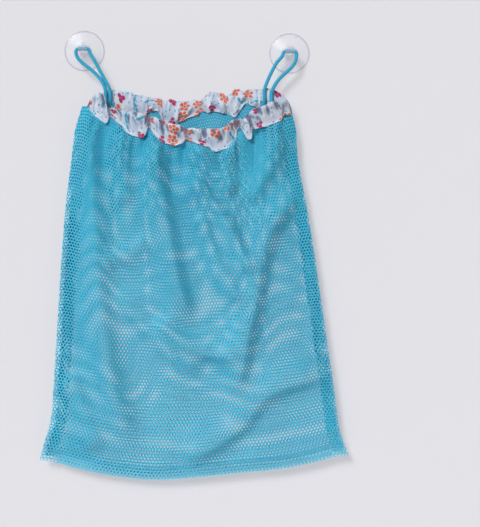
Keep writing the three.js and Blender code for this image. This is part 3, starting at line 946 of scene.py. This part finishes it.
path = cord_inside(FRONT, CORD_ENDS["front"])
for half, part in halves(path[:, 0]):
    run = tube(f"front_drawcord_run_{half}", path[part], CORD_R, braid)
    bend_front(run)
    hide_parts("front_drawcord")
run = tube("back_drawcord_run", cord_inside(BACK, CORD_ENDS["back"]), CORD_R, braid)
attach(run, "bag")
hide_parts("back_drawcord")

# %% [markdown]
# ## Net finish
# The net is knitted from a matt turquoise yarn. The crest of each strand is
# painted a little lighter than the rim of the hole beside it, as painted light
# on its round. The yarn is uneven, and the dye varies softly over the cloth.
# Where the net is drawn in, its strands lie closer and its colour goes deeper,
# which is painted shade. The seams at the sides are two layers of net, with a
# darker copy of the colour as painted shade between the layers, and the hem is
# painted paler, as painted light.

# %% Net finish
HEM_PAINTED_LIGHT = 14 * MM
DRAWN_IN_SHADE = 0.62  # share of the deeper colour where the net is drawn in most


def net_finish(name, valley, crown):
    yarn = Finish(name, {"Specular IOR Level": 0.3, "Sheen Weight": 0.1})
    dye = yarn.noise(yarn.place(), 45 * MM)
    fuzz = yarn.noise(yarn.place(), 0.5 * MM, 1.0)
    _, height, _ = yarn.parts(yarn.flat())
    # painted light: the crest of each strand is lighter than the rim of its hole
    colour = yarn.mix(yarn.kept("ridge"), screen(valley), screen(crown))
    colour = yarn.mix(dye.over(0.35, 0.4) * 0.35, colour, screen("48c4de"))
    # painted shade: a deeper colour where the net is drawn in
    colour = yarn.mix(yarn.kept("gathered") * DRAWN_IN_SHADE, colour, screen("087698"))
    # painted light: the colour goes paler towards the hem
    yarn.to("Base Color", yarn.mix((1 - height.over(0, HEM_PAINTED_LIGHT)) * 0.6, colour, screen("86cadd")))
    yarn.to("Roughness", 0.55 + fuzz * 0.25)
    yarn.bump(fuzz, 0.1 * MM)
    print("finish:", name)
    return yarn


net_yarn = net_finish("turquoise_net", "1b94b7", "4abcd8")
# painted shade: a darker copy of the net's colour for the doubled side seams
shaded_seam_yarn = net_finish("doubled_net", "0d6f91", "2793b3")

# %% [markdown]
# ## The cloth's shape
# Each panel was cut as a rectangle. Its sides follow the outline in the
# photograph, its top is gathered under the strip, and it bellies out a little.
# Below the strip the gathers die out, and a few long folds cross the front:
# each is a line drawn over the photograph, with a height and a width on each
# side of it. Cloth coordinates stay those of the flat rectangle. Where the
# cloth is steep, hollow or bunched up, it counts as drawn in, and there the
# holes of the net close and its colour is deeper, which is painted shade.

# %% Outline and folds
LEFT_EDGE = [  # height and x
    (-40, -97.5), (-56, -103), (-80, -110), (-104, -113), (-151, -118.9), (-199, -122.9), (-246, -125.9),
    (-294, -128.8), (-341, -131.8), (-365, -133.8), (-377, -136.7), (-389, -140.7), (-406, -145),
]
RIGHT_EDGE = [
    (-40, 99), (-56, 103), (-80, 108.5), (-104, 110), (-151, 118.4), (-199, 126.3), (-246, 133.2),
    (-294, 140.1), (-341, 147), (-365, 150), (-377, 152), (-389, 155.9), (-402, 160.9),
]
HEM_LINE = [  # x and height
    (-145, -405.5), (-136.7, -406.5), (-113, -412.5), (-89.3, -418.4), (-65.6, -422.3), (-30, -425.3),
    (5.6, -423.3), (53.1, -418.4), (100.6, -413.4), (124.3, -408.5), (148, -402.6), (160.9, -401.6),
]
FOLDS = [  # height, width left and right (or below and above), pixels along the line
    (14.0, 15, 12, [(84, 84), (88, 140), (91, 180), (94, 225), (97, 280), (102, 320), (110, 380), (128, 440),
                    (138, 470)]),
    (14.0, 20, 9, [(153, 130), (161, 190), (168, 235), (177, 280), (192, 330)]),
    (12.5, 16, 7, [(186, 168), (212, 202), (235, 240), (252, 282)]),
    (9.5, 12, 7, [(198, 205), (214, 255), (243, 308)]),
    (15.0, 16, 9, [(308, 190), (279, 214), (262, 255), (255, 300), (247, 335), (240, 370), (232, 404)]),
    (12.0, 9.5, 22, [(176, 464), (222, 440), (243, 423), (260, 400), (286, 385), (330, 375)]),
    (8.0, 8, 15, [(118, 284), (128, 308), (152, 334), (206, 378)]),
    (10.5, 8, 14, [(152, 316), (190, 346), (242, 360)]),
    (7.0, 13, 10, [(66, 370), (82, 412), (98, 458)]),
    (7.5, 12, 9, [(277, 130), (273, 158), (262, 182), (248, 206)]),
    (6.0, 9, 10, [(100, 262), (128, 254), (152, 238)]),
    (7.0, 12, 8, [(202, 142), (213, 170), (238, 194)]),
    (6.5, 12, 8, [(118, 132), (124, 170), (127, 210)]),
]
FOLD_DEPTH, FOLD_STEP, FOLD_FADE = 28, 6.0, 0.18  # millimetres off the wall, step, share that fades out


def fold_height(x, z, height, left, right, line):
    """A smooth ridge along a drawn line, fading out at its ends."""
    fx, fz = from_photo(*np.array(line, float).T, FOLD_DEPTH)
    path = smooth_path(np.c_[fx, 0 * fx, fz], FOLD_STEP)[:, [0, 2]]
    best, value, place = np.full(x.shape, 1e9), np.zeros(x.shape), np.zeros(x.shape)
    for i, (a, b) in enumerate(zip(path, path[1:])):
        d = b - a
        t = np.clip(((x - a[0]) * d[0] + (z - a[1]) * d[1]) / (d @ d), 0, 1)
        ox, oz = x - a[0] - t * d[0], z - a[1] - t * d[1]
        away = np.hypot(ox, oz)
        near = away < best
        signed = np.sign(d[0] * oz - d[1] * ox) * away
        best, value = np.where(near, away, best), np.where(near, signed, value)
        place = np.where(near, (i + t) / (len(path) - 1), place)
    width = np.where(value > 0, right, left)
    fade = np.clip(place / FOLD_FADE, 0, 1) * np.clip((1 - place) / FOLD_FADE, 0, 1)
    return height * np.exp(-((value / width) ** 2)) * fade * fade * (3 - 2 * fade)


print(len(FOLDS), "folds")

# %% Panels as seen from the room
SPAN, DROP = 305.0, 352.0  # cut width and length of a panel
POINTS = 240  # rows and columns of a panel
TUCKED = 4.5  # how far a panel goes up inside the strip
RIM_EVEN, RIM_FADE = 25, 2.6  # columns that even out the rim's line, and how soon it fades below
ROWS_CROWD = 1.25  # over 1, rows lie closer near the mouth


def laid_out(side):
    """Places of a panel's points, rows from hem to mouth, and how far they are from its edges."""
    u, v = np.meshgrid(np.linspace(0, 1, POINTS), np.linspace(1, 0, POINTS) ** ROWS_CROWD)
    band = bands[side]
    rim_x = MOUTH_LEFT + u * (MOUTH_RIGHT - MOUTH_LEFT)
    top = np.interp(rim_x, band.lower[0], evened(band.lower[1], RIM_EVEN)) + TUCKED
    level = top.mean()
    (hem_left, _), (hem_right, _) = HEM_LINE[0], HEM_LINE[-1]
    hem = through(HEM_LINE, hem_left + u * (hem_right - hem_left))
    z = level + (hem - level) * v + (top - level) * (1 - v) ** RIM_FADE
    left, right = through(LEFT_EDGE, z[:, :1]), through(RIGHT_EDGE, z[:, -1:])
    return SimpleNamespace(
        u=u, v=v, x=left + (right - left) * u, z=z, below=top - z,
        reach=np.minimum(u, 1 - u) * (right - left), flat_x=u * SPAN, flat_y=(1 - v) * DROP,
        held=np.interp(rim_x, band.lower[0], band.puff),
    )


print("a panel has", POINTS * POINTS, "points")

# %% Gathers below the strip
EVEN_PUFF, PUFF_PULL = 2.6, 2.4  # fuller puffs push a gather out, tighter ones pull it in
PLEAT, PLEAT_HEIGHT = 13, 1.6  # pleats of so much flat cloth
SWELL, SWELL_HEIGHT = 34, 3.2  # wider swells between them
WANDER, WANDER_SIZE = 1.4, 60  # how far the pleats stray, in radians, and over how much cloth
DIES_OUT = 36, 20, 60  # millimetres below the strip: what the puffs push, pleats, swells


def gathers_below_strip(cloth):
    """How far the gathers push a panel's points out."""
    below, flat_x = cloth.below, cloth.flat_x
    pushed, pleats, swells = (np.exp(-below / depth) for depth in DIES_OUT)
    gathers = (cloth.held - EVEN_PUFF) * PUFF_PULL * pushed
    wander = WANDER * crumple(flat_x, below * 0.2, WANDER_SIZE, 5)
    gathers += np.cos(2 * np.pi * flat_x / PLEAT + wander) * PLEAT_HEIGHT * pleats
    return gathers + crumple(flat_x, below * 0.15, SWELL, 6) * SWELL_HEIGHT * swells


print("pleats of", PLEAT, "mm of flat cloth")

# %% Depth of the panels
BELLY = {FRONT: 14.0, BACK: 7.0}  # how far a panel bellies out
BELLY_FROM = 0.02, 0.35  # shares of its length, from the swell of the rim to the belly
ROLL_HEIGHT, ROLL_WIDTH = 1.4, 5  # round edge along the side seams
TOP_SIDE, TOP_IN, TOP_WIDTH = 0.5, 1.1, 13  # more under the strip: at a seam, further in, how far in
TOP_FADE = 0.03, 0.2  # shares of its length over which that fades
UNREST = {FRONT: (31, 1.1), BACK: (47, 0.7)}  # seed and height
UNREST_SIZE, UNREST_TALL = 80, 0.7  # width, and less than 1 makes it taller than wide
GATHERED = {FRONT: 1, BACK: 0.45}  # share of the gathers' height
CALM_TOP = {FRONT: (3, 12), BACK: (8, 24)}  # below the strip, between these the folds come in
CALM_SIDE, CALM_HEM = 14, (0.94, 1.0)  # from a side seam, and shares of the length down to the hem
BACK_MOST = 11.5  # keeps the back panel clear of the wall
LEAST_OFF, LEAST_WIDTH = 0.35, 4  # keeps the panels apart


def stands_off(cloth, side, gathers):
    """How far a panel's points stand off the seams."""
    u, v, x, z, reach = cloth.u, cloth.v, cloth.x, cloth.z, cloth.reach
    swell = RIM_SWELL[side] + (BELLY[side] - RIM_SWELL[side]) * eased(v, *BELLY_FROM)
    out = ROLL_HEIGHT * np.sqrt(1 - (1 - np.clip(reach / ROLL_WIDTH, 0, 1)) ** 2)
    out += (TOP_SIDE + TOP_IN * eased(reach, 0, TOP_WIDTH)) * (1 - eased(v, *TOP_FADE))
    out += swell * (1 - v**3) * np.sin(np.pi * u)
    seed, height = UNREST[side]
    unrest = crumple(x, z * UNREST_TALL, UNREST_SIZE, seed) * height
    calm = eased(reach, 0, CALM_SIDE) * (1 - eased(v, *CALM_HEM)) * eased(cloth.below, *CALM_TOP[side])
    out += (gathers * GATHERED[side] + unrest) * calm
    if side == FRONT:
        for fold in FOLDS:
            out += fold_height(x, z, *fold) * calm
    else:
        out = np.minimum(out, BACK_MOST)
    return np.maximum(out, LEAST_OFF * eased(reach, 0, LEAST_WIDTH))


print("bellies:", BELLY)

# %% Panel surfaces
# On steep flanks, in hollows between gathers, below the strip and beside the left seam the holes close, and
# the deeper colour there is painted shade.
STEEP_FROM, STEEP_GAIN, STEEP_MOST = 0.25, 0.4, 0.3  # slope, and how far it draws the net in
BUNCHED, BUNCH_FADE = {FRONT: 0.16, BACK: 0.75}, 70  # right below the strip, and how far down it fades
LEFT_SEAM_SHADE, LEFT_FROM, LEFT_TO = 0.3, (0.05, 0.09), (0.10, 0.22)  # beside the left seam, shares of the width
HOLLOW_SHADE, HOLLOW_DEPTH = 0.6, 3.5  # between gathers
GRAIN_X, GRAIN_Y = (1.6, 95, 81), (1.2, 110, 91)  # how far the knitting strays, over what cloth, and seed


def drawn_in(cloth, side, y, gathers):
    """How far the net is drawn in, from 0 to 1; it closes the holes, and its deeper colour is painted shade.
    """
    # below the strip the net is gathered in, and its deeper colour is painted shade; at the back this is the
    # shade inside the mouth
    bunched = BUNCHED[side] * np.exp(-cloth.below / BUNCH_FADE)
    if side == BACK:
        return bunched
    # painted shade beside the left seam; it closes holes there too
    bunched += LEFT_SEAM_SHADE * eased(cloth.u, *LEFT_FROM) * (1 - eased(cloth.u, *LEFT_TO))
    across = np.gradient(y, axis=1) / np.gradient(cloth.x, axis=1)
    down = np.gradient(y, axis=0) / np.gradient(cloth.z, axis=0)
    steep = np.clip((np.hypot(across, down) - STEEP_FROM) * STEEP_GAIN, 0, STEEP_MOST)
    return np.maximum(steep, bunched + HOLLOW_SHADE * np.clip(-gathers / HOLLOW_DEPTH, 0, 1))


def panel(side):
    """Points of a panel in millimetres, its cloth coordinates, and how far it is drawn in."""
    cloth = laid_out(side)
    gathers = gathers_below_strip(cloth)
    y = SEAM_Y + side * stands_off(cloth, side, gathers)
    loose = np.sin(np.pi * cloth.u) * np.sin(np.pi * cloth.v)
    stray_x, stray_y = (far * crumple(cloth.flat_x, cloth.flat_y, size, seed - side) * loose
                        for far, size, seed in (GRAIN_X, GRAIN_Y))
    grain_x, grain_y = cloth.flat_x + stray_x, cloth.flat_y + stray_y
    flat = np.stack([grain_x if side == FRONT else SPAN - grain_x, grain_y], -1)
    points = np.stack([cloth.x, y, cloth.z], -1)
    order = slice(None, None, -side)  # columns of the back run the other way, so that it faces outwards
    return points[:, order], flat[:, order], drawn_in(cloth, side, y, gathers)[:, order]


surfaces = {side: panel(side) for side in (FRONT, BACK)}
for points, *_ in surfaces.values():
    print("panel from", points.min((0, 1)).round(1), "to", points.max((0, 1)).round(1))

# %% [markdown]
# ## Net from Geometry Nodes
# A net is one cell repeated, so nodes lay it out: a six-sided ring for each
# hole, set on a grid with every other row half a pitch aside. The knitted
# columns lean a little. The flat net is then carried onto the panel. Sample UV
# Surface finds, for a place on the flat cloth, where that place lies on the
# draped panel and how far the cloth is drawn in there, which closes the holes.
# The crests are lifted a little along the cloth's normal, which gives the
# strands a round look.


# %% Recipes of nodes
class Recipe(Nodes):
    """A tree of Geometry Nodes with named inputs: lengths or shares, and a material."""

    def __init__(self, name, sizes, material):
        super().__init__(bpy.data.node_groups.new(name, "GeometryNodeTree"))
        face = self.tree.interface
        face.new_socket("Geometry", in_out="INPUT", socket_type="NodeSocketGeometry")
        self.ids = {}
        for label in (*sizes, material):
            kind = "NodeSocketMaterial" if label == material else "NodeSocketFloat"
            self.ids[label] = face.new_socket(label, in_out="INPUT", socket_type=kind).identifier
        face.new_socket("Geometry", in_out="OUTPUT", socket_type="NodeSocketGeometry")
        start = self.tree.nodes.new("NodeGroupInput")
        self.inputs = {s.name: Value(self, s) for s in start.outputs if s.name}

    def ends(self, geometry, material):
        real = self.node("GeometryNodeRealizeInstances", {}, geometry)
        dressed = self.node("GeometryNodeSetMaterial", {}, real, Material=material)
        self.put(self.tree.nodes.new("NodeGroupOutput").inputs[0], dressed)

    def vector(self, x, y, z=0.0):
        return self.node("ShaderNodeCombineXYZ", {}, x, y, z)

    def moved(self, geometry, **how):
        return self.node("GeometryNodeSetPosition", {}, geometry, **how)

    def named(self, kind, name):
        return self.node("GeometryNodeInputNamedAttribute", {"data_type": kind}, Name=name)

    def on_cloth(self, kind, value):
        """What a value is on the cloth, at the place that a flat point has there."""
        spot = self.node("GeometryNodeInputPosition", {})
        return self.node("GeometryNodeSampleUVSurface", {"data_type": kind}, self.inputs["Geometry"],
                         Value=value, UV_Map=self.named("FLOAT_VECTOR", "flat"), Sample_UV=spot)

    def store(self, geometry, kind, name, value, domain="POINT"):
        settings = {"data_type": kind, "domain": domain}
        return self.node("GeometryNodeStoreNamedAttribute", settings, geometry, Name=name, Value=value)

    def use(self, piece, values):
        added = piece.modifiers.new(self.tree.name, "NODES")
        added.node_group = self.tree
        for label, value in values.items():
            added[self.ids[label]] = value
        return made_plain(piece)


print("recipes ready")

# %% Net recipe
SLACK = 0.01 * MM  # keeps the outermost points on the cloth
HEX, HEX_ROW = 3**-0.5, 0.75**0.5  # corner radius of six-sided cells one pitch wide, and their rows' pitch


def hole_ring(net, spot, pitch, row, lean, hole):
    """The yarn round one hole, with a ridge on its outer edge, fitted to the rows and leant."""
    disc = net.node("GeometryNodeMeshCircle", {"fill_type": "NGON"}, Vertices=6, Radius=pitch * HEX)
    ring = net.node("GeometryNodeExtrudeMesh", {"mode": "FACES"}, disc, Offset_Scale=0.0)
    inner = net.other(ring, "Top")
    ring = net.node("GeometryNodeScaleElements", {"domain": "FACE"}, ring, Selection=inner, Scale=hole)
    only_face = {"domain": "FACE", "mode": "ONLY_FACE"}
    ring = net.node("GeometryNodeDeleteGeometry", only_face, ring, Selection=inner)
    far = net.vectors("LENGTH", spot, out="Value")
    ring = net.store(ring, "FLOAT", "ridge", far.above(pitch * (1 + hole) * (HEX / 2)))
    ring = net.node("GeometryNodeTransform", {}, ring, Rotation=(0, 0, math.pi / 6))
    ring = net.node("GeometryNodeTransform", {}, ring, Scale=net.vector(1.0, row / (pitch * HEX_ROW), 1.0))
    ring = net.moved(ring, Offset=net.vector(net.parts(spot)[1] * lean, 0.0))
    return net.store(ring, "FLOAT_VECTOR", "from_hole", spot)


def net_recipe():
    sizes = ("Width", "Length", "Pitch", "Row pitch", "Lean", "Hole share", "Crest")
    net = Recipe("net_on_cloth", sizes, "Yarn")
    width, length, pitch, row, lean, hole, crest = (net.inputs[name] for name in sizes)
    spot = net.node("GeometryNodeInputPosition", {})
    x, y, _ = net.parts(spot)

    wide, high = (width / pitch).whole(), (length / row).whole()
    grid = net.node("GeometryNodeMeshGrid", {}, Vertices_X=wide, Vertices_Y=high,
                    Size_X=(wide - 1) * pitch, Size_Y=(high - 1) * row)
    odd = (net.node("GeometryNodeInputIndex", {}) % high) % 2
    place = (x + wide * pitch * 0.5 + odd * pitch * 0.5 + y * lean) % (wide * pitch)
    grid = net.moved(grid, Position=net.vector(place, y + high * row * 0.5))
    ring = hole_ring(net, spot, pitch, row, lean, hole)
    cells = net.node("GeometryNodeInstanceOnPoints", {}, grid, Instance=ring)
    cells = net.node("GeometryNodeRealizeInstances", {}, cells)
    fitted = net.vector(x * (width / (wide * pitch)), y * (length / (high * row)))
    cells = net.moved(cells, Position=fitted)

    ridge, drawn = net.named("FLOAT", "ridge"), net.named("FLOAT", "drawn_in")
    closed = net.on_cloth("FLOAT", drawn) * (ridge - 1)
    shut = net.vectors("SCALE", net.named("FLOAT_VECTOR", "from_hole"), Scale=closed)
    cells = net.moved(cells, Offset=shut)
    within = (at.at_least(SLACK).at_most(size - SLACK) for at, size in ((x, width), (y, length)))
    cells = net.moved(cells, Position=net.vector(*within))
    cells = net.node("GeometryNodeMergeByDistance", {}, cells, Distance=pitch * 0.03)
    cells = net.store(cells, "FLOAT2", "flat", spot, "CORNER")
    # painted shade: how far the cloth is drawn in, which deepens the yarn's colour
    cells = net.store(cells, "FLOAT", "gathered", net.on_cloth("FLOAT", drawn))

    normal = net.node("GeometryNodeFieldOnDomain", {"data_type": "FLOAT_VECTOR", "domain": "POINT"},
                      net.node("GeometryNodeInputNormal", {}))
    lift = net.vectors("SCALE", net.on_cloth("FLOAT_VECTOR", normal), Scale=(ridge - 0.5) * crest)
    cells = net.moved(cells, Position=net.vectors("ADD", net.on_cloth("FLOAT_VECTOR", spot), lift))
    cells = net.node("GeometryNodeSetShadeSmooth", {}, cells)
    net.ends(cells, net.inputs["Yarn"])
    return net


NET = net_recipe()
print("net recipe:", len(NET.tree.nodes), "nodes")

# %% Net panels
PITCH, ROW_PITCH, HOLE_SHARE, CREST = 3.5, 2.94, 0.66, 0.35
LEAN = 0.08  # how far the knitted columns lean, sideways for each unit of height
BACK_HOLE_SHARE = 0.74


def netted(name, points, flat, drawn, size, hole_share=HOLE_SHARE, finish=net_yarn):
    """A piece of net on a surface that was cut flat to a size in millimetres."""
    piece = grid_piece(name, points, flat, finish)
    set_value(piece, "drawn_in", drawn)
    lengths = {"Width": size[0], "Length": size[1], "Pitch": PITCH, "Row pitch": ROW_PITCH, "Crest": CREST}
    values = {label: length * MM for label, length in lengths.items()}
    return NET.use(piece, {**values, "Lean": LEAN, "Hole share": hole_share, "Yarn": finish.material})


def keep_faces(piece, wanted):
    """Drops the faces that aren't wanted, and the points that only they had."""
    with reworked(piece) as work:
        work.faces.ensure_lookup_table()
        bmesh.ops.delete(work, geom=[f for f in work.faces if not wanted[f.index]], context="FACES")


def as_net(piece, size):
    """Prints how many faces a piece of net has, and how much of its flat cloth the yarn covers."""
    width, length = size[0] * MM, size[1] * MM
    cover = sum(face.area for face in piece.data.polygons) / (width * length)
    print(piece.name, len(piece.data.polygons), "faces, yarn covers", round(cover, 2), "of the flat cloth")


for half in ("left", "right"):
    front = netted(f"front_net_{half}", *surfaces[FRONT], (SPAN, DROP))
    middle = np.empty(3 * len(front.data.polygons))
    front.data.polygons.foreach_get("center", middle)
    keep_faces(front, (middle[::3] < SPLIT_X * MM) == (half == "left"))
    bend_front(front)
    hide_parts("front_mesh_panel")
    as_net(front, (SPAN / 2, DROP))
back_net = netted("back_net", *surfaces[BACK], (SPAN, DROP), BACK_HOLE_SHARE)
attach(back_net, "bag")
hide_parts("back_mesh_panel")
as_net(back_net, (SPAN, DROP))

# %% [markdown]
# ## Seam allowances
# Along both sides and the bottom the edges of the panels are turned inside, and
# show through the net as a denser band. Each is a strip of the same net, midway
# between the panels. At the sides the net lies double, so there its holes are
# smaller, and its colour is a darker copy of the net's, as painted shade.

# %% Seam allowances
SEAM_W, SEAM_HOLE_SHARE = 12.0, 0.45
SEAM_IN = {"left": 4.0, "right": 2.0}  # from the edge of the bag
SEAM_FOOT, SEAM_TOP = {"left": -402, "right": -398}, -66
BOTTOM_FROM, BOTTOM_TO, BOTTOM_UP = -128, 144, 0.6
SEAM_WAVE = 0.25

across = np.linspace(0, SEAM_W, 9)
for side, edge, inward in (("left", LEFT_EDGE, 1), ("right", RIGHT_EDGE, -1)):
    z = np.linspace(SEAM_FOOT[side], SEAM_TOP, 140)[:, None]
    x = through(edge, z) + (SEAM_IN[side] + across)[None, :] * inward
    y = SEAM_Y + SEAM_WAVE * crumple(x, z, 30, 61)
    points = np.stack([x, y, z + 0 * x], -1)[:, ::inward]
    flat = np.stack([np.broadcast_to(across, x.shape), (z - z[0]) + 0 * x], -1)
    size = (SEAM_W, float(SEAM_TOP - SEAM_FOOT[side]))
    strip = netted(f"{side}_seam_allowance", points, flat, 0 * x, size, SEAM_HOLE_SHARE, shaded_seam_yarn)
    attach(strip, "bag")
    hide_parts(f"{side}_side_seam")
    as_net(strip, size)

x, up = np.linspace(BOTTOM_FROM, BOTTOM_TO, 140)[None, :], across[:, None]
y = SEAM_Y + SEAM_WAVE * crumple(x, up, 30, 71)
points = np.stack([x + 0 * up, y, through(HEM_LINE, x) + BOTTOM_UP + up], -1)
flat = np.stack([x - BOTTOM_FROM + 0 * up, up + 0 * x], -1)
size = (float(BOTTOM_TO - BOTTOM_FROM), SEAM_W)
strip = netted("bottom_seam_allowance", points, flat, 0 * y, size)
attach(strip, "bag")
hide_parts("bottom_seam")
as_net(strip, size)

# %% [markdown]
# ## Stitches
# Thread holds the strip on the net and closes the bottom. A stitch is a short
# round bar, and nodes set one at every step along a line, turned to follow it.


# %% Threads
def thread_finish(name, dark, light):
    thread = Finish(name, {"Specular IOR Level": 0.4})
    ply = thread.noise(thread.place(), 0.4 * MM, 1.0)
    thread.to("Base Color", thread.mix(ply, screen(dark), screen(light)))
    thread.to("Roughness", 0.5 + ply * 0.3)
    thread.bump(ply, 0.08 * MM)
    print("finish:", name)
    return thread


white_thread = thread_finish("sewing_thread", "dcd9e0", "f2f0f4")
blue_thread = thread_finish("turquoise_thread", "2f97bb", "5cbcd8")

# %% Stitches
STITCH = {"Step": 3.0 * MM, "Stitch length": 2.2 * MM, "Thickness": 0.45 * MM}
BAND_ROW, BAND_OUT = 2, 0.15  # row of the sleeve that is sewn, and how far its thread lies outside
HEM_ROW, HEM_ENDS, HEM_OUT = 6, 4, 0.3  # the same for a panel, and the points left free at its ends


def stitch_recipe():
    sew = Recipe("stitches_on_a_line", tuple(STITCH), "Thread")
    line, step, long, thick, yarn = sew.inputs.values()
    curve = sew.node("GeometryNodeMeshToCurve", {}, line)
    points = sew.node("GeometryNodeCurveToPoints", {"mode": "LENGTH"}, curve, Length=step)
    bar = sew.node("GeometryNodeMeshCylinder", {}, Vertices=6, Side_Segments=2,
                   Radius=thick * 0.5, Depth=long)
    turn = sew.node("FunctionNodeAlignRotationToVector", {"axis": "Z"}, Vector=sew.other(points, "Tangent"))
    sew.ends(sew.node("GeometryNodeInstanceOnPoints", {}, points, Instance=bar, Rotation=turn), yarn)
    return sew


SEW = stitch_recipe()


def stitched(name, line, finish):
    """Stitches along a line of points in millimetres."""
    mesh = bpy.data.meshes.new(name)
    mesh.from_pydata((line * MM).tolist(), [(i, i + 1) for i in range(len(line) - 1)], [])
    piece = SEW.use(placed(name, mesh), {**STITCH, "Thread": finish.material})
    print(name, len(piece.data.polygons), "faces")
    return piece


line = bands[FRONT].grid[BAND_ROW] + (0, FRONT * BAND_OUT, 0)
for half, part in halves(line[:, 0], shared=0):
    bend_front(stitched(f"front_band_stitches_{half}", line[part], white_thread))
line = bands[BACK].grid[BAND_ROW] + (0, BACK * BAND_OUT, 0)
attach(stitched("back_band_stitches", line, white_thread), "bag")
for name, side in (("hem_stitches_front", FRONT), ("hem_stitches_back", BACK)):
    line = surfaces[side][0][HEM_ROW, HEM_ENDS:-HEM_ENDS] + (0, side * HEM_OUT, 0)
    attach(stitched(name, line, blue_thread), "bag")
